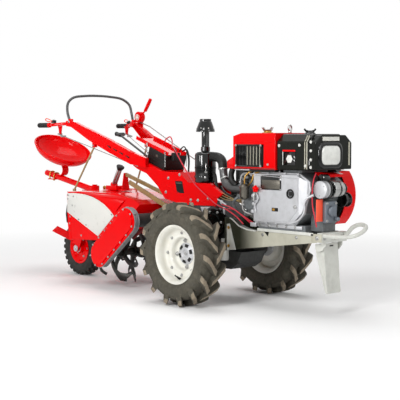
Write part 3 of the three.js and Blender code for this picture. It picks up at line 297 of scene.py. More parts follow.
def round_edges(thing, bevel, segments=2, smooth=35):
    edge = thing.modifiers.new("edge", "BEVEL")
    edge.width = bevel / 1000
    edge.segments = segments
    edge.limit_method = "ANGLE"
    edge.angle_limit = math.radians(smooth)
    edge.harden_normals = False


class Shape:
    """Collects faces in millimetres and makes one object of them."""

    def __init__(self, turn=None):
        self.points = []
        self.faces = []
        self.kinds = []
        self.turn = turn or Matrix.Identity(4)

    def add(self, points, faces, kind=0):
        first = len(self.points)
        self.points += [self.turn @ Vector(p) for p in points]
        self.faces += [[first + i for i in face] for face in faces]
        self.kinds += [kind] * len(faces)
        return self

    def box(self, x, y, z, kind=0):
        points = [(i, j, k) for i in x for j in y for k in z]
        faces = [(0, 1, 3, 2), (4, 6, 7, 5), (0, 4, 5, 1), (2, 3, 7, 6), (0, 2, 6, 4), (1, 5, 7, 3)]
        return self.add(points, faces, kind)

    def loft(self, rings, kind=0, caps=True):
        """Joins rings of the same number of points, and caps the ends."""
        count = len(rings[0])
        points = [p for ring in rings for p in ring]
        faces = []
        for i in range(len(rings) - 1):
            for j in range(count):
                here, there, k = i * count, (i + 1) * count, (j + 1) % count
                faces.append((here + j, here + k, there + k, there + j))
        if caps:
            faces.append(tuple(range(count)))
            faces.append(tuple(range(len(points) - count, len(points))))
        return self.add(points, faces, kind)

    def prism(self, outline, low, high, kind=0):
        """An outline in X and Z, drawn out along Y."""
        return self.loft([[(x, y, z) for x, z in outline] for y in (low, high)], kind)

    def lathe(self, profile, centre=(0, 0, 0), axis=LEFT, sides=64, kind=0):
        """Turns [radius, height] points about an axis through the centre."""
        turn = basis(axis)
        count = len(profile)
        points = []
        for spoke in ring_of(sides, 1):
            points += [Vector(centre) + turn @ Vector((spoke[0] * r, spoke[1] * r, h)) for r, h in profile]
        faces = []
        for i in range(sides):
            for j in range(count - 1):
                a, b = i * count + j, ((i + 1) % sides) * count + j
                faces.append((a, b, b + 1, a + 1))
        return self.add(points, faces, kind)

    def disc(self, place, axis, radius, height, sides=24, kind=0):
        return self.lathe([(0, 0), (radius, 0), (radius, height), (0, height)], place, axis, sides, kind)

    def rod(self, start, end, radius, end_radius=None, sides=16, kind=0):
        start, end = Vector(start), Vector(end)
        length = (end - start).length
        profile = [(0, 0), (radius, 0), (end_radius or radius, length), (0, length)]
        return self.lathe(profile, start, end - start, sides, kind)

    def bolt(self, place, axis, radius=8, height=6, washer=True):
        """A hexagon head on a washer, sitting at the place and facing along the axis."""
        low = 2 if washer else 0
        if washer:
            self.lathe([(0, 0), (radius * 1.45, 0), (radius * 1.4, low), (0, low)], place, axis, 20)
        top = low + height
        head = [(0, low), (radius, low), (radius, top - 1.2), (radius * 0.86, top), (0, top)]
        return self.lathe(head, place, axis, 6)

    def tube(self, points, radius, sides=12, samples=10):
        """A round bar through the points, smoothly bent."""
        path = spline(points, samples)
        rings = []
        normal = None
        for i, here in enumerate(path):
            along = (path[min(i + 1, len(path) - 1)] - path[max(i - 1, 0)]).normalized()
            normal = normal or along.orthogonal().normalized()
            normal = (normal - along * normal.dot(along)).normalized()
            side = along.cross(normal)
            rings.append([here + normal * u + side * v for u, v in ring_of(sides, radius)])
        return self.loft(rings)

    def make(self, name, materials, body="chassis", slot=None, bevel=0.0, segments=2, smooth=35,
             replaces=()):
        mesh = bpy.data.meshes.new(name)
        mesh.from_pydata([at(*p) for p in self.points], [], self.faces)
        for item in materials if isinstance(materials, list) else [materials]:
            mesh.materials.append(item)
        for face, kind in zip(mesh.polygons, self.kinds):
            face.material_index = kind
            face.use_smooth = True
        work = bmesh.new()
        work.from_mesh(mesh)
        bmesh.ops.remove_doubles(work, verts=work.verts, dist=1e-6)
        bmesh.ops.dissolve_degenerate(work, edges=work.edges, dist=1e-6)
        bmesh.ops.recalc_face_normals(work, faces=work.faces)
        work.to_mesh(mesh)
        work.free()
        thing = bpy.data.objects.new(name, mesh)
        bpy.context.collection.objects.link(thing)
        if bevel:
            round_edges(thing, bevel, segments, smooth)
        else:
            mesh.set_sharp_from_angle(angle=math.radians(smooth))
        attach(thing, body)
        if replaces:
            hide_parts(*replaces)
        return thing


def bolts(name, places, axis, radius=7, height=5, washer=True, material=STEEL, body="chassis"):
    """Hexagon heads at several places, all facing the same way."""
    shape = Shape()
    for place in places:
        shape.bolt(place, axis, radius, height, washer)
    shape.make(name, material, body, bevel=0.5, smooth=30)


def side_bolts(name, y, places, radius=7, height=5, washer=True, material=STEEL):
    """Bolts on a face of the tractor's side, at places in X and Z, facing outwards."""
    axis = RIGHT if y < 0 else LEFT
    bolts(name, [(x, y, z) for x, z in places], axis, radius, height, washer, material)


def bead(points, radius):
    """A line of round bar through the points, with its corners filled."""
    shape = Shape()
    for start, end in zip(points, points[1:]):
        shape.rod(start, end, radius, sides=10)
    for place in points[1:-1]:
        shape.lathe(ball(radius), place, sides=10)
    return shape


def tubes(name, material, routes, sides=10, samples=7, bevel=0.0):
    """Several bent bars as one piece: a radius and its points, for each."""
    shape = Shape()
    for radius, *points in routes:
        shape.tube(points, radius, sides, samples)
    shape.make(name, material, bevel=bevel)


# ------------------------------------------------------------------ CAD nodes that stay

# each node with the width of its rounded edges
PAINTED = (
    (RED, {
        "body_panel": 2, "battery_clamp": 2, "flywheel_guard": 1.2, "radiator_cover": 2, "clutch_lever": 2,
        "handlebar_right": 1.5, "handlebar_left": 1.5, "tiller_hood": 2, "chain_case_cover": 2,
        "link_tower": 1.5, "seat_beam": 1.5, "tail_fork": 1.5,
    }),
    (DARK_CAST, {"gearbox_case": 5, "clutch_pulley": 2, "flywheel": 2, "tiller_gearcase": 4}),
    (BLACK, {"clutch_cover": 4}),
    (PLASTIC, {"battery": 4, "radiator_core": 3}),
    (RAIL_PAINT, {"engine_frame": 1.5}),
    (STAND_PAINT, {"frame_crossmember": 2, "front_bumper": 0, "front_stand": 1.2}),
    (CAST, {"engine_block": 4, "cylinder_head": 5}),
    (SILVER, {"gear_cover": 5}),
    (CASE_GREY, {"chain_case": 3}),
    (RUBBER, {"drive_belts": 1.5, "intake_elbow": 0, "rear_flap": 1}),
    (TANK, {"fuel_tank": 8, "headlight_housing": 6}),
    (DARK_STEEL, {"muffler": 3, "intake_pipe": 0, "handle_hoop": 0, "gear_lever": 1}),
    (TAN, {"link_bar_upper": 1.5, "link_bar_lower": 1.5, "strut_rod_right": 0, "strut_rod_left": 0}),
)


def paint(node, material, bevel):
    """Gives a CAD node its finish, with its edges rounded by a modifier."""
    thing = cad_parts[node]
    for slot in thing.material_slots:
        slot.material = material
    if not thing.material_slots:
        thing.data.materials.append(material)
    if bevel:
        weld = thing.modifiers.new("weld", "WELD")
        weld.merge_threshold = 1e-5
        round_edges(thing, bevel)


for finish, nodes_and_edges in PAINTED:
    for node_name, edge_width in nodes_and_edges.items():
        paint(node_name, finish, edge_width)


# ------------------------------------------------------------------ drive wheels

LUGS = 14
LUG_FOOT, LUG_TOP = math.radians(5.2), math.radians(3.3)
RIM_SEAT = 153
RIM_LIP = 61.5


def lug(shape, hand, angle, crown, base, half):
    """One bar of a chevron tread: from past the middle line out over the shoulder.

    The bar leads at the middle of the tread, in the way the wheel turns when it drives forwards.
    """
    stations = [
        (-6, 17, crown, base), (16, 13, crown, base), (40, 7, crown, base), (60, 2.4, crown - 1, base),
        (half - 6, 0, crown - 5, base - 4), (half - 1, -1.2, crown - 17, base - 14),
        (half - 4, -2, crown - 34, base - 30),
    ]
    rings = []
    for y, lead, top, low in stations:
        here = angle - math.radians(lead)
        corners = ((low - 6, -LUG_FOOT), (top, -LUG_TOP), (top, LUG_TOP), (low - 6, LUG_FOOT))
        rings.append([
            (r * math.cos(here + wide), hand * y, r * math.sin(here + wide)) for r, wide in corners
        ])
    shape.add(rings[0] + rings[-1], [(0, 1, 2, 3), (4, 5, 6, 7)])
    for first, second in zip(rings, rings[1:]):
        for j in range(4):
            k = (j + 1) % 4
            shape.add([first[j], first[k], second[k], second[j]], [(0, 1, 2, 3)], 1 if j == 1 else 0)


def drive_tyre(side):
    low, high = limits("tyre_" + side)
    radius, half = (high.z - low.z) / 2, (high.y - low.y) / 2
    groove = radius - 34
    shape = Shape(Matrix.Translation(middle("tyre_" + side)))
    shape.lathe(mirrored([
        (RIM_SEAT + 2.5, -36), (RIM_SEAT + 9, -50), (RIM_SEAT + 19, -56), (RIM_SEAT + 27, -60),
        (RIM_SEAT + 36, -73), (RIM_SEAT + 50, 4 - half), (RIM_SEAT + 76, 1.5 - half),
        (RIM_SEAT + 98, 5 - half), (groove - 12, 12 - half), (groove - 3, 26 - half),
        (groove + 1, -30), (groove + 2, 0),
    ]), sides=112)
    for sign in (-1, 1):
        for r, y, size in ((RIM_SEAT + 34, half - 12, 2.0), (RIM_SEAT + 92, half - 3.2, 1.6)):
            foot = sign * (y - 6)
            shape.lathe([(r - size, foot), (r, sign * (y + size)), (r + size, foot)], sides=96)
    pitch = 2 * PI / LUGS
    for i in range(LUGS):
        lug(shape, -1, i * pitch, radius, groove, half)
        lug(shape, 1, (i + 0.5) * pitch, radius, groove, half)
    shape.make("tyre_tread_" + side, [TYRE, TREAD], "wheel_" + side, "tyre", bevel=2.2, smooth=38,
               replaces=["tyre_" + side])


def drive_rim(side, sign):
    """The pressed wheel: rolled lip, stepped dish, cast hub and bolts. Outwards is sign times Y."""
    lip = RIM_LIP
    body = "wheel_" + side
    turn = Matrix.Translation(middle("tyre_" + side)) @ Matrix.Scale(sign, 4, LEFT)
    outer = [
        (176, lip - 3), (175, lip), (171, lip + 0.5), (166, lip - 3), (158, lip - 10), (152, lip - 22),
        (149, lip - 38), (145, lip - 50), (138, lip - 56), (126, lip - 59), (112, lip - 60), (103, lip - 62),
        (98, lip - 68), (95, lip - 82), (92, lip - 92), (86, lip - 95), (66, lip - 95),
    ]
    inner = [
        (66, lip - 100), (88, lip - 100), (97, lip - 96), (102, lip - 84), (106, lip - 67), (140, lip - 62),
        (147, lip - 58), (147, 24 - lip), (154, 10 - lip), (170, -lip), (176, -lip), (176, 4 - lip),
        (156, 12 - lip), (152.4, 24 - lip), (152.4, lip - 40), (155, lip - 22), (161, lip - 9),
        (170, lip - 5), (176, lip - 3),
    ]
    rim = Shape(turn).lathe(outer + inner + outer[:1], sides=96)
    rim.make("rim_" + side, CREAM, body, "wheel_cream", smooth=50, replaces=["wheel_rim_" + side])

    face = lip - 81
    hub = Shape(turn).lathe([
        (0, face - 8), (20, face - 8), (23, face - 2), (30, face), (40, face - 3), (56, face - 10),
        (65, face - 11), (67, face - 15), (67, lip - 96), (58, lip - 104), (54, lip - 132), (0, lip - 132),
    ], sides=72)
    for x, z in ring_of(6, 47, 0.3):
        hub.turn = turn @ Matrix.Translation((x, 0, z)) @ Matrix.Rotation(-math.atan2(z, x), 4, "Y")
        hub.box((-9, 9), (face - 12, face - 2.5), (-13, 13), 1)
    hub.make("wheel_hub_" + side, [SILVER, RUBBER], body, bevel=1.2, smooth=40)

    studs = Shape(turn)
    for x, z in ring_of(4, 79, 0.1):
        studs.bolt((x, lip - 95, z), LEFT, 10, 9)
        studs.rod((x, lip - 86, z), (x, lip - 79, z), 5, sides=12)
    for x, z in ring_of(8, 126):
        studs.bolt((x, lip - 59.5, z), LEFT, 7.5)
    studs.rod((0, face - 9, 0), (0, face - 3, 0), 9, sides=24)
    studs.make("wheel_bolts_" + side, STEEL, body, bevel=0.6, smooth=30)

    bend = (2, lip - 20, -132)
    valve = Shape(turn).rod((6, lip - 40, -147), bend, 8, 5).rod(bend, (-2, lip - 6, -122), 4.4)
    valve.make("valve_" + side, RUBBER, body)


for side, sign in SIDES:
    drive_tyre(side)
    drive_rim(side, sign)


# ------------------------------------------------------------------ tail wheel

FORK_FACE = 68
KNOBS = 26
KNOB_ROWS = (-38, -19, 0, 19, 38)
TAIL_SEAT = 99.5


def tail_wheel():
    low, high = limits("tail_tyre")
    radius, half = (high.z - low.z) / 2, (high.y - low.y) / 2
    centre = middle("tail_tyre")
    turn = Matrix.Translation(centre)
    groove = radius - 11
    tread = Shape(turn).lathe(mirrored([
        (TAIL_SEAT, -34), (TAIL_SEAT + 12, -38), (TAIL_SEAT + 34, 3 - half), (TAIL_SEAT + 58, 1 - half),
        (groove - 10, 7 - half), (groove - 2, 20 - half), (groove, 0),
    ]), sides=88)
    for i in range(KNOBS):
        for row, y in enumerate(KNOB_ROWS):
            tread.turn = turn @ Matrix.Rotation(-2 * PI * (i + (row % 2) / 2) / KNOBS, 4, "Y")
            top = radius - (0 if abs(y) < 30 else 7)
            tread.loft([
                [(r, y - b, -a), (r, y + b, -a), (r, y + b, a), (r, y - b, a)]
                for r, a, b in ((groove - 12, 15, 8.6), (top, 11.5, 7))
            ])
    tread.make("tail_tread", TAIL_RUBBER, "tail_wheel", "tyre", bevel=1.4, smooth=38, replaces=["tail_tyre"])

    half_rim = [
        (0, 63), (12, 63), (12, 50), (30, 50), (34, 44), (34, 20), (52, 16), (80, 15), (88, 20), (93, 36),
        (99, 41), (110, 42.5), (111, 40), (108, 36), (99, 34),
    ]
    rim = Shape(turn).lathe(half_rim + [(r, -y) for r, y in reversed(half_rim)], sides=72)
    rim.make("tail_wheel_rim", RED, "tail_wheel", "red_enamel", smooth=45, replaces=["tail_rim"])

    hub = Shape(turn)
    caps = Shape(turn)
    for sign in (-1, 1):
        out = (0, sign, 0)
        profile = ((0, 51), (26, 51), (31, 48), (31, 14), (0, 14))
        hub.lathe([(r, sign * y) for r, y in profile], sides=40)
        for x, z in ring_of(5, 62):
            hub.bolt((x, sign * 15.5, z), out, 6, 5)
        face = sign * FORK_FACE - centre.y
        caps.lathe([(0, 0), (22, 0), (24, 3), (22, 8), (10, 9), (9, 15), (0, 15)], (0, face, 0), out, 32)
        for x, z in ring_of(4, 17, 0.6):
            caps.bolt((x, face + sign * 4, z), out, 4, washer=False)
    hub.make("tail_wheel_hub", STEEL, "tail_wheel", bevel=0.6)
    caps.make("tail_axle_caps", SILVER, "tail_swivel", bevel=0.6)


tail_wheel()


# ------------------------------------------------------------------ tiller

HOOD_SIDE = limits("tiller_hood")[0].y
ROTOR = (-868, 227)
CROSS_TUBE = (-580, 460)
CASE_RADIUS = 85
CASE_FACE = limits("chain_case_cover")[0].y
SHOULDER = ((-1090, 616), (-1055, 612), (-990, 601), (-921, 581), (-860, 556), (-806, 525), (-759, 489))
BLADE_REACH = 196
BLADE_STEPS = 14


def on_hood(*places):
    return [(x, HOOD_SIDE, z) for x, z in places]


def hood_shoulder():
    """The pressed roof's rounded shoulder above the side sheet."""
    rings = []
    for i, (x, z) in enumerate(SHOULDER):
        share = i / (len(SHOULDER) - 1)
        rise = 620 - 24 * share ** 2 - z
        over = []
        for k in range(7):
            t = k / 6
            lift = 9 * share * math.sin(PI * t)
            over.append((x, HOOD_SIDE + (12 + 110 * share) * t, z + rise * t ** 0.8 + lift))
        rings.append(over + [(px, py, pz - 4) for px, py, pz in reversed(over)])
    Shape().loft(rings).make("hood_shoulder", RED, smooth=50)
    seam = [(x, HOOD_SIDE - 1, z) for x, z in ((-1280, 617), (-1209, 620)) + SHOULDER]
    bead(seam, 3).make("hood_shoulder_seam", RED)


def tiller_panel():
    upper = [(x + 3, z - 6) for x, z in reversed(SHOULDER)]
    outline = [(-1281, 480), (-931, 338)] + upper + [(-1209, 614), (-1279, 609)]
    Shape().prism(outline, HOOD_SIDE - 2.5, HOOD_SIDE).make("tiller_side_panel", WHITE, bevel=0.8)
    bead(on_hood((-1283, 474), (-932, 331)), 3).make("tiller_panel_seam", RED)
    bead(on_hood((-1246, 436), (-1243, 303), (-1232, 297), (-996, 314)), 3.5).make("tiller_side_bead", RED)
    side_bolts("tiller_panel_bolts", HOOD_SIDE - 2.5, (
        (-1271, 571), (-1204, 590), (-1221, 528), (-1062, 404), (-780, 490), (-1268, 596), (-1146, 436),
    ), 4.5, 3.5)
    side_bolts("tiller_side_bolts", HOOD_SIDE, ((-1247, 452), (-1252, 404), (-1120, 330)), 5, 4)


def case_outline(inset, steps):
    return stadium(CROSS_TUBE, ROTOR, CASE_RADIUS - inset, steps)


def chain_case_fittings():
    side_bolts("chain_case_bolts", CASE_FACE, spaced(case_outline(8, 14), 15), 4.6, 4)
    ridge = Shape().loft([
        [(x, CASE_FACE + out, z) for x, z in case_outline(inset, 16)]
        for inset, out in ((20, 0.5), (24, -2.5), (28, 0.5))
    ], caps=False)
    ridge.make("chain_case_ridge", RED, smooth=80)
    lugs = Shape()
    for x, z in spaced(case_outline(-1, 14), 15):
        lugs.rod((x, CASE_FACE + 14, z), (x, CASE_FACE + 34, z), 7, sides=14)
    lugs.make("chain_case_lugs", CASE_GREY, bevel=1.5)
    ribs = Shape()
    for width, y in ((4, 16), (3, 30), (4, 48)):
        ribs.prism(case_outline(-width, 18), CASE_FACE + y, CASE_FACE + y + 4)
    ribs.make("chain_case_ribs", CASE_GREY, bevel=1)


def hood_seams():
    """Folded edges of the hood's roof, and the brace behind the chain case."""
    z = limits("tiller_hood")[1].z + 0.5
    for i, y in enumerate((-180, 0, 180)):
        bead([(-1270, y, z), (-1075, y, z)], 3).make(f"hood_rib_{i}", RED)
    tubes("tiller_brace", DARK_RED, [(11, (-793, -112, 323), (-716, -112, 373), (-639, -112, 423))], 12, 3)


def blade(y, side, angle):
    """Rings of one blade, which curves back and ends in a hook bent to the side."""
    path = []
    for k in range(BLADE_STEPS + 1):
        s = k / BLADE_STEPS
        radius = 34 + (BLADE_REACH - 34) * min(1.0, s * 1.16) ** 0.92
        sweep = angle + 0.72 * s ** 1.7
        out = 52 * max(0.0, (s - 0.62) / 0.38) ** 1.35
        path.append(Vector((radius * math.cos(sweep), y + side * out, radius * math.sin(sweep))))
    rings = []
    for k, here in enumerate(path):
        step = (path[min(k + 1, BLADE_STEPS)] - path[max(k - 1, 0)]).normalized()
        flat = Vector((step.x, 0, step.z)).normalized()
        wide = Vector((-flat.z, 0, flat.x)) * (21 - 5 * k / BLADE_STEPS) * (0.75 if k > 12 else 1)
        thick = step.cross(wide.normalized()) * 4.5
        rings.append([here + wide * u + thick * v for u, v in (
            (1, 0.3), (0, 1), (-1, 0.3), (-1, -0.3), (0, -1), (1, -0.3),
        )])
    return rings


def rotor():
    """Hexagon shaft with holders, each with four blades; the end ones hook inwards."""
    shape = Shape(Matrix.Translation((ROTOR[0], 0, ROTOR[1])))
    half_shaft = [(0, -288), (17, -288), (17, -262), (26, -262)]
    shape.lathe(half_shaft + [(r, -y) for r, y in reversed(half_shaft)], sides=6)
    for i, y in enumerate((-236, -142, -48, 48, 142, 236)):
        shape.lathe([(26, y - 12), (40, y - 12), (40, y + 12), (26, y + 12), (26, y - 12)], sides=28)
        for j in range(4):
            side = 1 if (i + j) % 2 else -1
            if abs(y) > 200:
                side = -1 if y > 0 else 1
            angle = math.radians(i * 31 + j * 90 + 12)
            shape.loft(blade(y, side, angle))
            for r in (44, 60):
                place = (r * math.cos(angle + 0.02), y - side * 5, r * math.sin(angle + 0.02))
                shape.bolt(place, (0, -side, 0), 7, washer=False)
    shape.make("rotor_blades", BLADE, "rotor", bevel=0.8, smooth=40, replaces=["tiller_rotor"])


def depth_screw():
    """Twin silver tubes with a black turning knob, on a red clamp."""
    low, high = Vector((-1144, 0, 656)), Vector((-1080, 0, 768))
    column = Shape()
    for y in (-12, 12):
        column.rod(low + Vector((0, y, 0)), high + Vector((0, y, 0)), 9, sides=20)
    column.make("depth_tubes", STEEL, bevel=0.6)
    profile = [(0, 0), (17, 0), (20, 4), (28, 20), (28, 26), (24, 29), (0, 30)]
    Shape().lathe(profile, high, high - low, 32).make("depth_knob", RUBBER)
    clamp = Shape().box((-1182, -1062), (-42, 42), (627, 658))
    clamp.lathe([(0, 0), (26, 0), (26, 14), (22, 18), (0, 18)], low, high - low, 28)
    clamp.make("depth_clamp", RED, bevel=3, replaces=["depth_screw"])
    bolt = Shape().rod((-1240, -14, 641), (-1180, -14, 641), 8).disc((-1238, -14, 641), AHEAD, 13, 9, 6)
    bolt.make("depth_bolt", BRASS, bevel=0.8)
    Shape().rod((-1022, 0, 738), (-1000, 0, 738), 7, sides=20).make("tower_pin", BRASS, bevel=1)


hood_shoulder()
tiller_panel()
chain_case_fittings()
hood_seams()
rotor()
depth_screw()


# ------------------------------------------------------------------ handlebars, levers and seat

HANDLE_FOOT = (-625, 128, 857)
SPLAY = math.atan(0.23)
GRIP_END = (-1548, 345, 1074)
GRIP_LENGTH = 122
# how far back from the foot, and how far up, along the handlebar's upper and lower edges
HANDLE_TOP = ((0, 0), (127, 42), (303, 119), (483, 190), (539, 210), (605, 237), (640, 245))
HANDLE_LOW = ((0, -58), (126, -42), (303, 31), (483, 114), (598, 180), (640, 204))


def on_handle(back, sign, up=0.0, out=0.0):
    """A point beside the handlebar's middle line: how far back, up and outwards from its foot."""
    x = HANDLE_FOOT[0] - back * math.cos(SPLAY) + out * math.sin(SPLAY)
    y = HANDLE_FOOT[1] + back * math.sin(SPLAY) + out * math.cos(SPLAY)
    return Vector((x, sign * y, HANDLE_FOOT[2] + up))


def grip(side, sign):
    """A ribbed rubber grip with its collar, and the throttle loop above it."""
    end = Vector((GRIP_END[0], sign * GRIP_END[1], GRIP_END[2]))
    profile = [(0, 0), (11, 0.5), (15, 3), (17, 8)]
    for i in range(12):
        here = 13 + i * 8.5
        profile += [(17, here), (15, here + 2), (15, here + 4.5), (17, here + 6.5)]
    profile += [(17.5, GRIP_LENGTH - 4), (17.5, GRIP_LENGTH), (12, GRIP_LENGTH)]
    ribbed = Shape().lathe(profile, end, AHEAD, 28)
    ribbed.make(f"grip_ribbed_{side}", RUBBER, bevel=0.4, replaces=[f"grip_{side}"])
    first, last = Vector((GRIP_LENGTH + 2, 0, 0)), Vector((GRIP_LENGTH + 16, 0, 1))
    collar = Shape().rod(end + first, end + last, 17, sides=24)
    collar.make(f"grip_collar_{side}", RED, bevel=1.5)
    loop = [end + Vector((x, sign * y, z)) for x, y, z in (
        (160, -6, 26), (128, 0, 40), (96, 2, 46), (84, 0, 36), (104, -2, 27), (150, -8, 22),
    )]
    tubes(f"throttle_loop_{side}", ORANGE, [(3.2, *loop)], 8, 5)


def handle_fittings(side, sign):
    for label, line, lift in (("low", HANDLE_LOW, 5), ("top", HANDLE_TOP, -5)):
        edge = [on_handle(back, sign, up + lift, 15) for back, up in line[1:]]
        bead(edge, 3.4).make(f"handle_edge_{label}_{side}", RED)
    slots = Shape()
    for back in (150, 202, 254, 306):
        centre = on_handle(back, sign, (back - 126) * 0.42 - 2, 16)
        half = Vector((16, 0, -7))
        slots.tube([centre - half, centre, centre + half], 4, 8, 2)
    slots.make(f"handle_slots_{side}", RUBBER)
    grip(side, sign)
    y = sign * 330
    switch = Shape().box((-1402, -1372), (y - 12, y + 12), (1089, 1108))
    switch.box((-1394, -1380), (y - 6, y + 6), (1108, 1115), 1)
    switch.make(f"handle_switch_{side}", [PLASTIC, WHITE], bevel=2)
    foot = on_handle(655, sign)
    boss = Shape().rod((foot.x, foot.y, 1078), (foot.x, foot.y, 1116), 17, sides=24)
    boss.make(f"hoop_boss_{side}", RED, bevel=2)
    bolts(f"hoop_bolt_{side}", [(foot.x, foot.y + sign * 16, 1096)], (0, sign, 0), 6)
    bracket = Shape().loft([
        [(back, sign * 287, z), (front, sign * 287, z), (front, sign * 294, z), (back, sign * 294, z)]
        for back, front, z in ((-1392, -1344, 1070), (-1382, -1350, 1044), (-1378, -1356, 1012))
    ])
    bracket.rod((-1368, sign * 290, 1060), (-1368, sign * 302, 1060), 9, sides=18)
    bracket.make(f"steering_bracket_{side}", RED, bevel=1)
    link = Shape().rod((-1367, sign * 276, 1014), (-1367, sign * 304, 1014), 6, sides=14)
    link.rod((-1384, sign * 298, 1014), (-1331, sign * 298, 1002), 5, sides=12)
    link.box((-1344, -1318), (sign * 276, sign * 304), (992, 1004))
    link.make(f"steering_link_{side}", STEEL)
    x, y = on_handle(442, sign)[:2]
    clevis = Shape()
    for low in (y - 11, y + 6):
        clevis.box((x - 16, x + 16), (low, low + 5), (924, 972))
    clevis.make(f"strut_clevis_{side}", RED, bevel=1.5)
    pin = Shape().rod((x, y - 18, 936), (x, y + 18, 936), 6, sides=18)
    pin.make(f"strut_pin_{side}", STEEL, bevel=1)


def control_rods():
    rods = Shape().rod((-1058, 255, 1066), (-432, 112, 850), 4, sides=10)
    rods.rod((-1202, 276, 1100), (-1058, 255, 1066), 4, sides=10)
    rods.make("clutch_rod", STEEL)
    for side, sign in SIDES:
        rod = Shape().rod((-1331, sign * 283, 998), (-740, sign * 108, 800), 3, sides=8)
        rod.make(f"steering_rod_{side}", STEEL)
    profile = [(0, 0), (7, 0), (9, 10), (13, 34), (14, 60), (12, 70), (0, 74)]
    knob = Shape().lathe(profile, (-1012, -30, 997), (-1, 0, 0.32), 20)
    knob.rod((-1036, -66, 1012), (-1036, 6, 1012), 10, 12, sides=18)
    knob.make("gear_knob", RUBBER, bevel=2)
    x, z = -1202, 1134
    profile = [(0, 0), (30, 0), (34, 2), (34, 5), (30, 7), (0, 7)]
    Shape().lathe(profile, (x, 263.5, z), RIGHT, 36).make("quadrant_cap", RED, bevel=1)
    mark = Shape().disc((x, 256.4, z), RIGHT, 14, 1.2)
    mark.lathe([(18, 0), (22, 0), (22, 0.8), (18, 0.8), (18, 0)], (x, 256.4, z), RIGHT, 30)
    mark.make("quadrant_mark", CREAM)
    profile = [(0, 0), (9, 0), (12, 6), (13, 60), (11, 90), (5, 97), (0, 98)]
    Shape().lathe(profile, (-1140, 280, 1178), (0.6, 0, 0.8), 20).make("clutch_grip", RED, bevel=1)


SEAT = Vector((-1752, 0, 914))
SEAT_TILT = 0.47
SEAT_LONG, SEAT_WIDE, SEAT_DEEP, SEAT_WALL = 221, 215, 110, 4
SEAT_STEPS = 22


def seat_ring(share, drop, inset):
    """An oval of the pan: its share of the full size, its height, and its inset from the rim."""
    long, wide = (SEAT_LONG - inset) * share, (SEAT_WIDE - inset) * share
    return [(long * x, wide * y, drop) for x, y in ring_of(72, 1)]


def seat_bowl(steps, deep, inset):
    angles = [PI / 2 * i / SEAT_STEPS for i in steps]
    return [seat_ring(math.sin(a), -deep * math.cos(a), inset) for a in angles]


def seat():
    """A pressed pan with a rolled rim, smooth all over."""
    roll = [seat_ring(1, 6 * z - 6, 7 - 6.2 * x) for x, z in arc(0, 0, 1, -60, 240, 8)]
    outer = seat_bowl(range(1, SEAT_STEPS + 1), SEAT_DEEP, 7)
    inner = seat_bowl(range(SEAT_STEPS - 1, 0, -1), SEAT_DEEP - SEAT_WALL, 7 + SEAT_WALL)
    pan = Shape(Matrix.Translation(SEAT) @ Matrix.Rotation(SEAT_TILT, 4, "Y")).loft(outer + roll + inner)
    pan.make("seat_dish", RED, smooth=60, replaces=["seat_pan"])
    bolts("seat_bolts", [(-1720 + x, y, 808) for x in (-18, 18) for y in (-18, 18)], (0.45, 0, 0.9), 6, 4)


def beam_height(x):
    """Height of the seat beam's middle line."""
    return 726 - (x + 1966) * 0.185


def beam_fittings():
    clips = Shape()
    for x in (-1893, -1838):
        z = beam_height(x)
        hoop = ((-25, -32), (-25, 0), (-18, 19), (0, 26), (18, 19), (25, 0), (25, -32))
        clips.tube([(x, y, z + up) for y, up in hoop], 4.5, 10, 5)
        for y in (-25, 25):
            clips.disc((x, y, z - 31), UP, 8, 6, 6)
    clips.make("beam_clips", BRASS)
    z = beam_height(-1866)
    Shape().box((-1908, -1823), (-34, 34), (z - 30, z - 23)).make("beam_clip_plate", RED, bevel=1.5)


for side, sign in SIDES:
    handle_fittings(side, sign)
control_rods()
seat()
beam_fittings()


# ------------------------------------------------------------------ body panel, battery and air cleaner

BODY_SIDE = limits("body_panel")[0].y
CLEANER = (-151, -50, 0)
BATTERY_SIDE = 91
CABLE_RADIUS = 4
CABLE = (
    (-610, 6, 953), (-588, 2, 978), (-540, -2, 994), (-487, -30, 962), (-430, -80, 938), (-362, -112, 905),
    (-313, -114.5, 848), (-237, -114.5, 760), (-194, -115, 720), (-163, -115, 692), (-59, -115, 629),
    (20, -115, 586), (110, -114, 558), (178, -106, 524), (226, -92, 480),
)


def body_fittings():
    places = [(-219, 603), (-153, 604), (-325, 757), (-433, 733), (-457, 643)]
    side_bolts("body_bolts", BODY_SIDE, places + [(-60, 620)])
    side_bolts("body_bolts_left", -BODY_SIDE, places)
    face = BODY_SIDE - 0.8
    label = Shape().prism([(-368, 716), (-300, 716), (-282, 642), (-350, 642)], face, BODY_SIDE)
    label.prism([(-359, 708), (-307, 708), (-305, 700), (-357, 700)], face - 0.4, face, 1)
    label.make("body_label", [BLACK, SMOKED])
    seam = [(x, BODY_SIDE, z) for x, z in ((-455, 690), (-300, 630), (-120, 596), (40, 640))]
    bead(seam, 2.2).make("body_seam", RED)


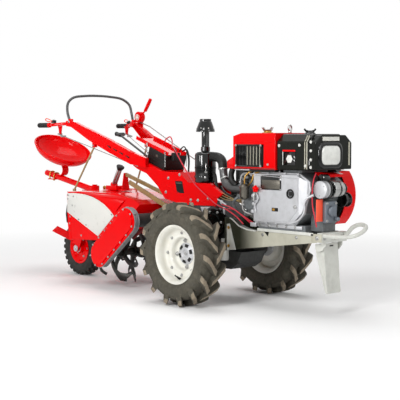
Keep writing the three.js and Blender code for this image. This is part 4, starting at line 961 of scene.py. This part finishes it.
def battery_fittings():
    rods = Shape()
    for y in (-BATTERY_SIDE, BATTERY_SIDE):
        for x, low, high in ((-488, 800, 890), (-668, 850, 950)):
            rods.rod((x, y, low), (x, y, high), 3, sides=10)
            rods.disc((x, y, high), UP, 7, 6, 6)
    rods.make("battery_rods", STEEL)
    ribs = Shape()
    for up in (0, 24.96, 49.92):
        ribs.rod((-676, -88, 846 + up), (-480, -88, 782 + up), 1.8, sides=8)
    ribs.make("battery_ribs", PLASTIC)
    badge = Shape().prism([(-584, 880), (-566, 880), (-560, 866), (-571, 858), (-584, 866)], -88.4, -87)
    badge.make("battery_badge", SMOKED)
    cover = Shape().box((-474, -452), (-52, 6), (838, 892))
    cover.tube([(-462, -22, 890), (-470, -22, 914), (-500, -16, 926)], 8, samples=5)
    cover.make("terminal_cover", RUBBER, bevel=4)
    tubes("battery_leads", RUBBER, [
        (5, (-470, 40, 900), (-430, 44, 910), (-404, 40, 850), (-392, 24, 760)),
        (4, (-470, 10, 900), (-420, 14, 930), (-376, 8, 860), (-366, 0, 765)),
    ], samples=6)
    front = limits("battery_clamp")[1].x
    Shape().box((front, front + 0.6), (-28, 28), (880, 892)).make("battery_sticker", CREAM)


def red_cable():
    """The long red lead that loops off the battery and runs down to the frame."""
    lead = Shape().tube(CABLE, CABLE_RADIUS, 10, 14).make("battery_cable", CABLE_RED)


def air_cleaner():
    low, high = limits("air_cleaner")
    bottom, top, radius = low.z, 905, 67
    joint = bottom + 92
    Shape().lathe([
        (0, bottom), (radius - 12, bottom), (radius - 4, bottom + 4), (radius - 1.5, bottom + 12),
        (radius - 2, joint - 5), (radius, joint - 4), (radius, joint - 1), (radius - 3, joint),
        (radius, joint + 1), (radius, joint + 6), (radius - 2, joint + 7), (radius - 2, top - 26),
        (radius - 4, top - 14), (radius - 12, top - 5), (radius - 22, top - 1), (34, top), (29, top + 3),
        (28, top + 26), (25, top + 28), (24, top + 30), (24, high.z), (0, high.z),
    ], CLEANER, UP, 64).make("cleaner_can", BLACK, smooth=32, replaces=["air_cleaner"])
    clips = Shape()
    for angle in (200, 320, 80):
        clips.turn = Matrix.Translation(CLEANER) @ Matrix.Rotation(math.radians(angle), 4, "Z")
        spring = ((-1, 30), (3, 22), (4, 0), (3, -20), (-1, -26))
        clips.tube([(radius + out, 0, joint + up) for out, up in spring], 2.6, 8, 5)
        clips.box((radius - 2, radius + 3), (-8, 8), (joint - 30, joint - 20))
    clips.make("cleaner_clips", STEEL)
    strap = [(radius + out, bottom + up) for out, up in ((-1, 30), (2, 30), (2, 44), (-1, 44))]
    Shape().lathe(strap, CLEANER, UP, 56).make("cleaner_strap", BLACK, bevel=0.6)
    bolts("cleaner_bolt", [(-100, -98, 745)], (0.6, -0.8, 0), 5, 4)


def rain_cap():
    low, high = [corner.z for corner in limits("rain_cap")]
    Shape().lathe([
        (0, low + 14), (30, low + 14), (50, low + 6), (56, low), (58, low), (58, low + 10), (56.5, low + 16),
        (40, high - 18), (36, high - 14), (36, high - 3), (33, high), (0, high),
    ], CLEANER, UP, 56).make("cap_bell", BLACK, smooth=30, replaces=["rain_cap"])
    dots = Shape(Matrix.Translation(CLEANER))
    for x, y in arc(0, 0, 1, -72, 228, 6):
        dots.rod((52 * x, 52 * y, low + 22), (56 * x, 56 * y, low + 23.5), 4, 3, sides=12)
    dots.make("cap_rivets", WHITE)


def intake_hoses():
    clamps = Shape()
    for place, axis, radius in (
        ((17, -58, 802), (0.1, 0, -1), 30.5), ((40, -66, 738), (0.6, -0.3, -0.8), 27),
        ((226, -88, 684), AHEAD, 27.5),
    ):
        band = [(radius - 3, -5), (radius, -5), (radius, 5), (radius - 3, 5), (radius - 3, -5)]
        clamps.lathe(band, place, axis, 40)
    clamps.make("hose_clamps", STEEL, bevel=0.6)
    hoses = Shape()
    hoses.tube([(-84, -50, 780), (-50, -62, 760), (-30, -70, 700), (0, -82, 650), (60, -84, 622)], 9, 14, 8)
    hoses.tube([(-20, -40, 690), (40, -70, 660), (120, -92, 640), (225, -96, 610)], 8, 14, 8)
    hoses.tube([(60, -84, 622), (130, -96, 640), (200, -100, 660), (242, -104, 650)], 5, 12, 8)
    hoses.make("engine_hoses", RUBBER)
    tubes("engine_wires", TAN, [
        (2.4, (-70, 6 * i - 96, 690 - i * 12), (20, -100, 668 - i * 16), (110, -103, 640 - i * 12),
         (236, -106, 600 + i * 14)) for i in range(3)
    ], 8, 8)


body_fittings()
battery_fittings()
red_cable()
air_cleaner()
rain_cap()
intake_hoses()


# ------------------------------------------------------------------ radiator cover, tank and lamp

BAR = 9
COVER_SIDE = abs(limits("radiator_cover")[0].y)
TANK_SIDE = limits("fuel_tank")[0].y
LENS_WIDTH, LENS_HEIGHT, LENS_CORNER = 157, 106, 34


def grille(side, sign):
    y = sign * COVER_SIDE
    proud = y + sign * 2.5
    # the bars share corners, so the order of these two decides which way some of their faces point
    depth = sorted((y, proud))
    x0, x1, z0, z1 = 238, 448, 822, 950
    surround = Shape()
    for z in ((z0, z0 + BAR), (z1 - BAR, z1)):
        surround.box((x0, x1), depth, z)
    for x in ((x0, x0 + BAR), (x1 - BAR, x1)):
        surround.box(x, depth, (z0, z1))
    surround.make(f"grille_frame_{side}", BLACK, bevel=0.8)
    slats = Shape()
    # the pale slats are the lit ones towards the front; the black slats behind and between them are painted
    # shade
    for i in range(15):
        x = x0 + 18 + i * 12.4
        wide, kind = (1.9, 1) if i > 4 and i % 2 == 0 else (2.6, 0)
        slats.box((x - wide, x + wide), (y - sign * 9, y - sign * 2), (z0 + BAR, z1 - BAR), kind)
    slats.make(f"grille_slats_{side}", [BLACK, FRAME_PAINT], bevel=0.6)
    places = [(x, proud, z) for x in (x0 + 5, x1 - 5) for z in (z0 + 5, z1 - 5)] + [(498, y, 838)]
    bolts(f"grille_bolts_{side}", places, (0, sign, 0), 5, 4)
    bead([(222, y, 966), (552, y, 966)], 2.4).make(f"cover_seam_{side}", RED)
    foot = Shape().box((222, 552), (y, y + sign * 3), (811, 816))
    foot.make(f"cover_foot_{side}", DARK_RED, bevel=1)


def cover_top():
    top = limits("radiator_cover")[1].z
    neck = [(0, 0), (34, 0), (34, 3), (24, 5), (22, 14), (0, 14)]
    Shape().lathe(neck, (333, 0, top), UP, 36).make("radiator_neck", BRASS, bevel=1)
    cap = Shape()
    cap.lathe([(0, 14), (27, 14), (29, 17), (29, 21), (22, 24), (0, 25)], (333, 0, top), UP, 36)
    for sign in (-1, 1):
        cap.tube([(333, sign * out, top + up) for out, up in ((24, 20), (36, 24), (44, 34))], 5, samples=4)
        cap.tube([(333 + sign * 20, 0, top + 22), (333 + sign * 34, 0, top + 34)], 4)
    cap.make("radiator_cap", STEEL, bevel=0.8)
    eye = Shape().rod((510, 0, top), (510, 0, top + 14), 10, sides=20)
    loop = ((-6, 12), (-13, 24), (-10, 38), (0, 44), (10, 38), (13, 24), (6, 12))
    eye.tube([(510, y, top + up) for y, up in loop], 5, samples=5)
    eye.make("lifting_eye", STEEL, bevel=0.8)


def tank_fittings():
    top = limits("fuel_tank")[1].z
    x = 662
    cap = Shape()
    cap.lathe([(0, 0), (32, 0), (32, 5), (26, 8), (26, 16), (20, 20), (0, 20)], (x, 0, top), UP, 36)
    for sign in (-1, 1):
        across = ((14, 16), (34, 18), (46, 28))
        along = ((14, 16), (34, 20), (42, 28))
        cap.tube([(x, sign * out, top + up) for out, up in across], 5, samples=4)
        cap.tube([(x + sign * out, 0, top + up) for out, up in along], 5, samples=4)
    cap.make("tank_cap", BLACK, bevel=0.8)
    side_bolts("tank_bolts", TANK_SIDE, ((576, 945), (728, 948), (772, 835)), 6, 4, material=WHITE)
    face = TANK_SIDE - 1.6
    raised = (face - 0.6, face)
    plate = Shape().box((604, 698), (face, TANK_SIDE), (838, 922))
    plate.box((604, 698), raised, (912, 922), 1)
    plate.box((604, 608), raised, (838, 912), 2)
    plate.prism(arc(655, 872, 24, 0, 300, 5), *raised, 2)
    plate.make("tank_emblem", [BLACK, RED, WHITE], bevel=0.3)
    y = TANK_SIDE + 1
    # two pale bars down the tank's rounded front corner: their pale colour on the black tank is a painted
    # highlight
    tubes("tank_highlight_bars", FRAME_PAINT, [
        (3.4, (x, y, 818), (x, y, 962), (x, y + 23, 1000)) for x in (767, 781)
    ], samples=1)
    housing = limits("headlight_housing")[0].y
    side_bolts("housing_bolts", housing, [(804, z) for z in (966, 918, 869, 828)], 6, 4, material=WHITE)
    tubes("tank_welt", BLACK, [(5, (792, -148, 818), (792, -148, 962), (792, -124, 1000))], samples=1)


def rounded(width, height, radius, x, y, z):
    """A rectangle with round corners, facing forwards."""
    points = []
    for side, up, start in ((1, 1, 0), (-1, 1, 90), (-1, -1, 180), (1, -1, 270)):
        corner = (side * (width / 2 - radius), up * (height / 2 - radius))
        points += [(x, y + u, z + v) for u, v in arc(*corner, radius, start, start + 90, 6)]
    return points


def lamp():
    low, high = limits("headlight_lens")
    y, z = (low.y + high.y) / 2, (low.z + high.z) / 2
    bezel = Shape().loft([
        rounded(LENS_WIDTH + wider, LENS_HEIGHT + higher, radius, low.x + out, y, z)
        for wider, higher, radius, out in (
            (44, 40, 43, -3), (40, 36, 42, 4), (26, 22, 40, 7), (2, 2, 34, 7), (0, 0, 34, 1),
        )
    ], caps=False)
    bezel.make("lamp_bezel", BLACK, bevel=0.8)
    lens = Shape().loft([
        rounded(LENS_WIDTH * share, LENS_HEIGHT * share, LENS_CORNER * share, low.x + out, y, z)
        for share, out in ((1.0, 2), (0.985, 5), (0.93, 8), (0.8, 10.4), (0.55, 11.6), (0.2, 12))
    ])
    lens.make("lamp_lens", LENS, smooth=60, replaces=["headlight_lens"])
    front = limits("headlight_housing")[1].x
    Shape().box((front, front + 3), (122, 134), (836, 966)).make("lamp_side_strip", FRAME_PAINT, bevel=1)
    sticker = Shape().box((front, front + 0.8), (-96, 44), (972, 994))
    sticker.box((front + 0.8, front + 1.4), (-40, 40), (975, 991), 1)
    sticker.make("lamp_sticker", [CREAM, WHITE])


for side, sign in SIDES:
    grille(side, sign)
cover_top()
tank_fittings()
lamp()


# ------------------------------------------------------------------ engine

COVER_FACE = limits("gear_cover")[0].y


def gear_cover_fittings():
    y = COVER_FACE
    plate = Shape().box((424, 584), (y - 1.6, y), (694, 778))
    plate.box((434, 574), (y - 2.4, y - 1.6), (700, 750), 1)
    plate.make("engine_plate", [BLACK, SMOKED], bevel=0.4)
    rivets = [(x, z) for x in (429, 579) for z in (699, 773)]
    side_bolts("engine_plate_rivets", y - 1.6, rivets, 3.2, 2.5, False, WHITE)
    ring = [(18.5, 0), (25, 0), (27, 3), (26, 7), (20, 8), (18.5, 6), (18.5, 0)]
    starting = Shape().lathe(ring, (654, y, 678), RIGHT, 40).disc((654, y + 4, 678), RIGHT, 11, 5, 28)
    starting.make("starting_ring", RUBBER, bevel=0.6)
    side_bolts("gear_cover_bolts", y + 13, (
        (362, 600), (362, 700), (362, 784), (470, 787), (600, 787), (700, 786), (381, 506), (455, 506),
        (530, 506), (600, 506), (664, 508),
    ), 6, 5, material=SILVER)
    facets = ((396, 520), (640, 520), (706, 592), (706, 762), (372, 776))
    bead([(x, y, z) for x, z in facets], 2.4).make("gear_cover_ridge", SILVER)
    sticker = Shape().box((512, 560), (y - 0.6, y), (574, 594))
    sticker.box((517, 535), (y - 1, y - 0.6), (578, 590), 1)
    sticker.make("engine_sticker", [BLACK, BRASS])
    pipe = Shape().tube([
        (790, -124, 672), (768, -136, 658), (750, -140, 626), (748, -142, 580), (714, -146, 536),
        (652, -148, 512),
    ], 5.5, 12, 8)
    pipe.rod((768, -136, 662), (800, -122, 676), 8).make("engine_pipe", SILVER)
    plug = [(0, 0), (15, 0), (15, 6), (10, 8), (10, 16), (0, 16)]
    Shape().lathe(plug, (690, y + 9, 606), RIGHT, 24).make("oil_plug", STEEL, bevel=0.8)


def fuel_side():
    """The red knob, filter and pipes between the cylinder head and the gear cover."""
    x, z = 402, 697
    knob = Shape().rod((x, -150, z), (x, -162, z), 6)
    for u, v in ring_of(5, 13, 0.3):
        knob.lathe(ball(9), (x + u, -170, z + v), sides=14)
    knob.lathe(ball(14), (x, -168, z), sides=18).make("speed_knob", RED, smooth=60)
    lever = Shape().rod((385, -158, 690), (381, -164, 628), 5, 7, sides=12)
    lever.disc((386, -155, 690), RIGHT, 12, 5).make("speed_lever", STEEL, bevel=0.6)
    low, high = limits("fuel_filter")
    Shape().lathe([
        (0, low.z), (12, low.z), (18, low.z + 4), (26, low.z + 12), (28, low.z + 20), (28, high.z - 26),
        (30, high.z - 22), (30, high.z - 14), (24, high.z - 10), (18, high.z - 4), (0, high.z),
    ], ((low.x + high.x) / 2, low.y + 30, 0), UP, 40).make("filter_can", SMOKED, replaces=["fuel_filter"])
    pipes = Shape()
    pipes.tube([(300, -157, 720), (306, -160, 760), (330, -150, 790), (372, -140, 800)], 4, 10, 7)
    pipes.tube([(318, -140, 716), (350, -146, 742), (362, -140, 780), (420, -136, 800)], 4, 10, 7)
    pipes.tube([(286, -134, 700), (262, -118, 706), (250, -108, 720)], 4, 10, 6)
    pipes.make("fuel_pipes", BRASS)
    tubes("injection_pipes", STEEL, [
        (5, (254, -108, 640), (250, -122, 600), (270, -128, 560), (330, -120, 540)),
        (4, (262, -108, 690), (246, -130, 720), (262, -136, 770), (330, -130, 792)),
        (6, (240, -96, 560), (226, -100, 590), (232, -104, 640), (244, -106, 660)),
    ])


def head_fittings():
    """Bosses, bolts and castings of the cylinder head, with the cowl above it."""
    low = limits("cylinder_head")[0]
    corners = ((262, 712), (262, 566), (330, 716), (330, 566))
    bosses = Shape()
    for (x, z), r in zip(corners, (16, 14, 15, 15)):
        bosses.lathe([(0, 0), (r, 0), (r, 8), (r - 3, 10), (0, 10)], (x, low.y, z), RIGHT, 24)
    bosses.lathe([(0, 0), (44, 0), (44, 10), (36, 16), (0, 16)], (298, low.y, 610), RIGHT, 36)
    bosses.make("head_bosses", CAST, bevel=1.5)
    side_bolts("head_bolts", low.y - 10, corners, 7, 6)
    bolts("head_cover_bolts", [(low.x, y, z) for y in (-80, 80) for z in (560, 720)], (-1, 0, 0), 8, 6)
    cover = Shape().box((low.x - 14, low.x), (-88, 88), (566, 716))
    cover.make("rocker_cover", CAST, bevel=7, segments=3)
    Shape().box((236, 545), (-122, -108), (792, 803)).make("cover_ledge", SILVER, bevel=2)
    cowl = Shape().loft([
        [(x, -half, bottom), (x, half, bottom), (x, half, top), (x, -half, top)]
        for x, half, bottom, top in ((96, 104, 806, 852), (216, 130, 803, 900))
    ])
    cowl.make("fan_cowl", RED, bevel=6, segments=3)
    upper = Shape()
    for block in (
        ((178, 355), (-84, 84), (745, 800)), ((150, 239), (-70, 90), (600, 745)),
        ((62, 178), (0, 80), (640, 800)), ((20, 150), (0, 70), (600, 690)),
    ):
        upper.box(*block)
    upper.make("head_casting", DARK_CAST, bevel=8, segments=3)
    bits = Shape()
    bits.lathe([(0, 0), (20, 0), (20, 24), (14, 30), (0, 30)], (200, -70, 700), RIGHT, 28)
    bits.lathe([(0, 0), (26, 0), (26, 16), (18, 22), (18, 34), (0, 34)], (196, -70, 640), RIGHT, 28)
    bits.lathe([(0, 0), (16, 0), (16, 24), (10, 30), (0, 30)], (252, -84, 776), RIGHT, 24)
    bits.disc((318, -84, 772), RIGHT, 13, 26)
    bits.tube([(196, -104, 640), (170, -110, 620), (150, -100, 590), (156, -90, 560)], 8, samples=6)
    bits.tube([(340, -118, 700), (346, -126, 660), (336, -128, 610), (344, -122, 560)], 6, samples=6)
    bits.make("head_fittings", CAST, bevel=1.5)


def head_pipes():
    """Water hoses, throttle linkage, small fittings and leads round the head."""
    water = Shape()
    water.tube([(128, -84, 806), (122, -92, 770), (134, -94, 730), (166, -88, 706)], 17, 20, 8)
    water.tube([(90, -50, 806), (84, -60, 760), (96, -70, 700), (150, -78, 660)], 12, 16, 8)
    water.make("water_hoses", RUBBER)
    linkage = Shape()
    linkage.tube([(394, -156, 676), (412, -158, 640), (386, -158, 604), (394, -156, 566)], 4.5, 10, 6)
    linkage.rod((360, -150, 648), (404, -156, 620), 4, sides=10)
    for x, z in ((366, 656), (372, 610), (362, 566)):
        linkage.lathe([(0, 0), (11, 0), (11, 6), (8, 9), (0, 9)], (x, -151, z), RIGHT, 20)
    linkage.make("throttle_linkage", SILVER, bevel=0.8)
    small = Shape()
    for place, r in (
        ((226, -104, 722), 9), ((252, -112, 744), 8), ((284, -118, 758), 10), ((330, -128, 772), 8),
    ):
        small.lathe([(0, 0), (r, 0), (r, 8), (r - 3, 11), (r - 3, 22), (0, 22)], place, (0, -1, 0.5), 16)
    small.tube([(226, -118, 726), (244, -128, 768), (290, -132, 786), (352, -134, 780)], 3.4, 10, 6)
    small.rod((81, -112, 574), (81, -112, 524), 6)
    small.rod((26, -112, 618), (100, -112, 588), 5)
    small.disc((60, -108, 603), RIGHT, 12, 8, 20)
    small.box((304, 352), (-113, -105.4), (473, 497))
    small.make("small_fittings", SILVER, bevel=0.8)
    tubes("frame_leads", CABLE_RED, [
        (3.4, (60, -113, 590), (150, -112, 572), (213, -108, 540), (301, -102, 488)),
        (2.8, (112, -112, 566), (172, -112, 562), (236, -108, 532), (318, -102, 494)),
    ], samples=6)
    Shape().box((226, 346), (-166, -150), (801, 807)).make("cover_trim", SILVER, bevel=1)


def alternator():
    face = limits("starter_motor")[0].y
    x, z = 834, 706
    back = [(0, 0), (20, 0), (24, 3), (40, 4), (46, 8), (48, 14), (48, 34), (44, 36), (0, 36)]
    cap = Shape().lathe(back[::-1], (x, face + 36, z), RIGHT, 48)
    dome = [(0, 0), (48, 0), (48, 22), (45, 32), (38, 36), (22, 37), (18, 34), (0, 34)]
    cap.lathe(dome, (x, face + 37, z), RIGHT, 48).make("alternator_cap", SILVER)
    fan = Shape().disc((x, -60, z), RIGHT, 50, 12, 48)
    for i in range(14):
        fan.turn = Matrix.Translation((x, -36, z)) @ Matrix.Rotation(2 * PI * i / 14, 4, "Y")
        fan.box((14, 46), (-9, 9), (-3, 3))
    fan.make("alternator_fan", BLACK, bevel=0.8)
    body = Shape().lathe([(0, 0), (44, 0), (47, 4), (47, 40), (44, 44), (0, 44)], (x, 16, z), RIGHT, 48)
    body.lathe([(0, 0), (40, 0), (42, 3), (42, 26), (0, 26)], (x, 60, z), RIGHT, 40)
    body.make("alternator_body", STEEL, bevel=1, replaces=["starter_motor"])
    groove = [(0, 0), (34, 0), (34, 4), (27, 10), (34, 16), (34, 20), (0, 20)]
    pulley = Shape().lathe(groove, (x, 82, z), RIGHT, 40).disc((x - 20, -30, z + 58), RIGHT, 26, 46, 32)
    pulley.make("alternator_pulley", BLACK, bevel=1)
    places = [(x + 34 * math.cos(a), z + 34 * math.sin(a)) for a in (0.6, 2.7, 4.7)]
    side_bolts("alternator_bolts", face + 2, places, 4, 4, False)
    arm = Shape().box((786, 800), (-70, 40), (650, 664)).box((786, 800), (-60, -48), (600, 664))
    arm.make("alternator_bracket", DARK_CAST, bevel=2)


def engine_front():
    Shape().box((812, 818), (-116, -66), (530, 652)).make("engine_red_strip", ORANGE, bevel=1.5)
    casting = Shape().box((811, 838), (-64, 30), (520, 640))
    casting.lathe([(0, 0), (30, 0), (30, 14), (22, 18), (0, 18)], (838, -18, 586), AHEAD, 32)
    casting.disc((838, 16, 540), AHEAD, 12, 26, 20).make("front_casting", BLUE_GREY, bevel=4)
    bolts("front_casting_bolts", [(838, y, z) for y in (-54, 20) for z in (532, 628)], AHEAD, 6)
    leads = Shape().tube([
        (800, -104, 796), (796, -118, 760), (790, -122, 700), (792, -122, 620), (806, -120, 560),
        (812, -110, 500),
    ], 3.5, 10, 8)
    leads.tube([(815, -60, 790), (822, -66, 770), (826, -70, 740)], 3.5, 10, 6)
    leads.make("front_leads", CABLE_RED)
    sheet = Shape().prism([(690, 797), (760, 797), (812, 786), (812, 770), (700, 764)], -4, 120)
    sheet.make("guard_bracket", RED, bevel=1.5)
    drum = [(0, 0), (42, 0), (42, 6), (30, 10), (30, 40), (42, 44), (42, 50), (0, 50)]
    Shape().lathe(drum, (790, 172, 640), RIGHT, 40).make("belt_idler", BLACK, bevel=1)


gear_cover_fittings()
fuel_side()
head_fittings()
head_pipes()
alternator()
engine_front()


# ------------------------------------------------------------------ frame, stand and gearbox

RAIL_SIDE = 105
RAIL_BOLTS = ((398, 430), (660, 432))
RAIL_CREST = ((124, 511), (150, 500), (200, 468), (262, 451), (340, 446))


def frame_fittings():
    places = [(122.6, sign * 116, z) for sign in (-1, 1) for z in (345, 455)]
    bolts("frame_bolts", places, AHEAD, material=BRASS)
    gussets = Shape()
    for _, sign in SIDES:
        gussets.box((120.3, 122.6), (sign * 105.4, sign * 127), (319, 477))
        gussets.prism([(122, 477), (126, 477), (178, 324), (122, 320)], sign * 105.3, sign * 108)
    gussets.make("frame_gussets", STAND_PAINT, bevel=0.8)
    for side, sign in SIDES:
        crest = bead([(x, sign * (RAIL_SIDE - 1), z) for x, z in RAIL_CREST], 4)
        crest.make(f"rail_crest_{side}", STAND_PAINT)
    # a thin black triangle on the near rail's web, just below the bearers, is painted shadow
    shadow_sheet = Shape().prism([(408, 449), (446, 449), (441, 422)], -105.8, -RAIL_SIDE)
    shadow_sheet.make("rail_painted_shadow", PLASTIC)
    bearers = Shape()
    for _, sign in SIDES:
        bearers.box((356, 786), (sign * 105.4, sign * 109), (449, 466))
    bearers.make("engine_bearers", STAND_PAINT, bevel=1)
    flange = Shape().box((360, 706), (-112, -105.4), (478, 497))
    flange.make("sump_flange", SILVER, bevel=1.5)
    side_bolts("sump_bolts", -112, [(x, 488) for x in (384, 452, 520, 588, 656)], 6, 4)
    side_bolts("rail_bolts", -RAIL_SIDE, RAIL_BOLTS)
    side_bolts("rail_bolts_left", RAIL_SIDE, RAIL_BOLTS)
    side_plate = Shape().box((770, 846), (-109, -105.4), (418, 462))
    side_plate.make("crossmember_side", FRAME_PAINT, bevel=1)
    side_bolts("crossmember_bolt", -109, [(815, 440)], 9, 7)
    bolts("crossmember_front_bolts", [(848, y, 440) for y in (-84, 0, 84)], AHEAD, 8, 6)


def stand_fittings():
    slot = Shape().box((846.8, 847.6), (-40, -10), (392, 400))
    slot.make("stand_slot", RUBBER, "stand")
    bolts("stand_bolt", [(800, -64.5, 385)], RIGHT, 10, 7, body="stand")
    edges = Shape()
    for y in (-57.5, 57.5):
        edges.rod((812, y * 1.02, 360), (846, y * 0.985, 134), 2.4, sides=8)
    edges.make("stand_edges", STAND_PAINT, "stand")


def gearbox_fittings():
    ribs = Shape()
    for z in (240, 270, 300):
        ribs.box((-60, 200), (-98, -92), (z, z + 7))
    ribs.make("gearbox_ribs", DARK_CAST, bevel=2)
    outline = [(-126, 566), (14, 572), (6, 510), (-35, 456), (-90, 490)]
    Shape().prism(outline, -118, -100).make("shift_casting", SILVER, bevel=5, segments=3)
    cylinder = Shape()
    cylinder.lathe([
        (0, 0), (30, 0), (34, 6), (34, 60), (30, 66), (30, 96), (24, 104), (0, 104),
    ], (84, -118, 256), UP, 40)
    cylinder.rod((84, -118, 360), (84, -118, 386), 15, sides=24)
    cylinder.make("drain_cylinder", WHITE, bevel=1.5)
    x, z = 8, 482
    face = [(86, 0), (92, 0), (92, 6), (80, 8), (78, 3), (50, 2), (48, 9), (20, 10), (0, 10)]
    Shape().lathe(face, (x, -127, z), RIGHT, 56).make("clutch_drum_face", BLACK)
    side_bolts("clutch_bolts", -129, [(x + u, z + v) for u, v in ring_of(6, 66)], 6)
    side_bolts("final_drive_bolts", -151, [(u, 305 + v) for u, v in ring_of(8, 72)], height=6)


frame_fittings()
stand_fittings()
gearbox_fittings()


# ------------------------------------------------------------------ camera, light and floor

CAMERA_AZIMUTH = math.radians(46.1)
CAMERA_DISTANCE = 6245
CAMERA_HEIGHT = 992
CAMERA_YAW = math.radians(46.1 + 1.58)
CAMERA_PITCH = math.radians(3.52)
CAMERA_LENS = 91.96
LIGHTS_AIM = Vector((0, 0, 0.5))
# name, place, width and power of each light
LIGHTS = (
    ("key", (2.6, -5.6, 4.6), 2.0, 190),
    ("side", (0.9, -6.0, 1.3), 0.9, 95),
    ("side_rear", (-1.3, -5.8, 1.4), 0.5, 26),
    ("fill", (6.4, 0.5, 2.6), 2.6, 70),
    ("top", (-0.6, 0.3, 6.5), 3.5, 140),
    ("rear", (-5.0, 4.0, 3.5), 3.0, 50),
)
LIT_LEVEL, SEEN_LEVEL = 0.36, 1.0
FLOOR_HALF = 40.0


def camera():
    data = bpy.data.cameras.new("camera")
    data.lens = CAMERA_LENS
    data.sensor_width = 36
    eye = bpy.data.objects.new("camera", data)
    bpy.context.collection.objects.link(eye)
    eye.location = at(
        CAMERA_DISTANCE * math.sin(CAMERA_AZIMUTH), -CAMERA_DISTANCE * math.cos(CAMERA_AZIMUTH), CAMERA_HEIGHT
    )
    look = Vector((-math.sin(CAMERA_YAW), math.cos(CAMERA_YAW), -math.tan(CAMERA_PITCH)))
    eye.rotation_euler = look.to_track_quat("-Z", "Y").to_euler()
    bpy.context.scene.camera = eye


def area_light(name, place, size, power):
    data = bpy.data.lights.new(name, "AREA")
    data.size = size
    data.energy = power
    light = bpy.data.objects.new(name, data)
    bpy.context.collection.objects.link(light)
    light.location = place
    light.rotation_euler = (LIGHTS_AIM - light.location).to_track_quat("-Z", "Y").to_euler()


def white_world():
    """White to the camera, through glass and in mirrors, and dimmer as a light."""
    world = bpy.data.worlds.new("studio")
    bpy.context.scene.world = world
    world.use_nodes = True
    tree = world.node_tree
    back = tree.nodes["Background"]
    back.inputs["Color"].default_value = (1, 1, 1, 1)
    rays = tree.nodes.new("ShaderNodeLightPath")
    seen = rays.outputs["Is Camera Ray"]
    for kind in ("Is Transmission Ray", "Is Glossy Ray"):
        either = tree.nodes.new("ShaderNodeMath")
        either.operation = "MAXIMUM"
        tree.links.new(seen, either.inputs[0])
        tree.links.new(rays.outputs[kind], either.inputs[1])
        seen = either.outputs[0]
    level = tree.nodes.new("ShaderNodeMapRange")
    level.inputs["To Min"].default_value = LIT_LEVEL
    level.inputs["To Max"].default_value = SEEN_LEVEL
    tree.links.new(seen, level.inputs["Value"])
    tree.links.new(level.outputs["Result"], back.inputs["Strength"])


def floor():
    """A pale floor that fades into the white background where only the camera looks at it."""
    mesh = bpy.data.meshes.new("floor")
    corners = [(x * FLOOR_HALF, y * FLOOR_HALF, 0) for x, y in ((-1, -1), (1, -1), (1, 1), (-1, 1))]
    mesh.from_pydata(corners, [], [(0, 1, 2, 3)])
    ground = bpy.data.objects.new("floor", mesh)
    bpy.context.collection.objects.link(ground)
    nodes = Nodes("floor_pale")
    mesh.materials.append(nodes.material)
    nodes.into("Base Color", nodes.mix(nodes.noise(1.3), srgb(250, 250, 250), srgb(255, 255, 255)))
    nodes.set("Roughness", 0.9)
    nodes.set("Specular IOR Level", 0.0)
    away = nodes.add("ShaderNodeVectorMath", operation="LENGTH")
    nodes.link(nodes.place, away.inputs[0])
    far = nodes.span(away.outputs["Value"], 1.6, 4.5, 0, 1)
    rays = nodes.add("ShaderNodeLightPath")
    seen = nodes.add("ShaderNodeMath", operation="MULTIPLY")
    nodes.link(far, seen.inputs[0])
    nodes.link(rays.outputs["Is Camera Ray"], seen.inputs[1])
    white = nodes.add("ShaderNodeEmission")
    white.inputs["Color"].default_value = (1, 1, 1, 1)
    blend = nodes.add("ShaderNodeMixShader")
    for source, target in zip((seen, nodes.shader, white), blend.inputs):
        nodes.link(source.outputs[0], target)
    nodes.link(blend.outputs[0], nodes.tree.nodes["Material Output"].inputs["Surface"])


bpy.context.scene.view_settings.view_transform = "Standard"
camera()
for light_values in LIGHTS:
    area_light(*light_values)
white_world()
floor()
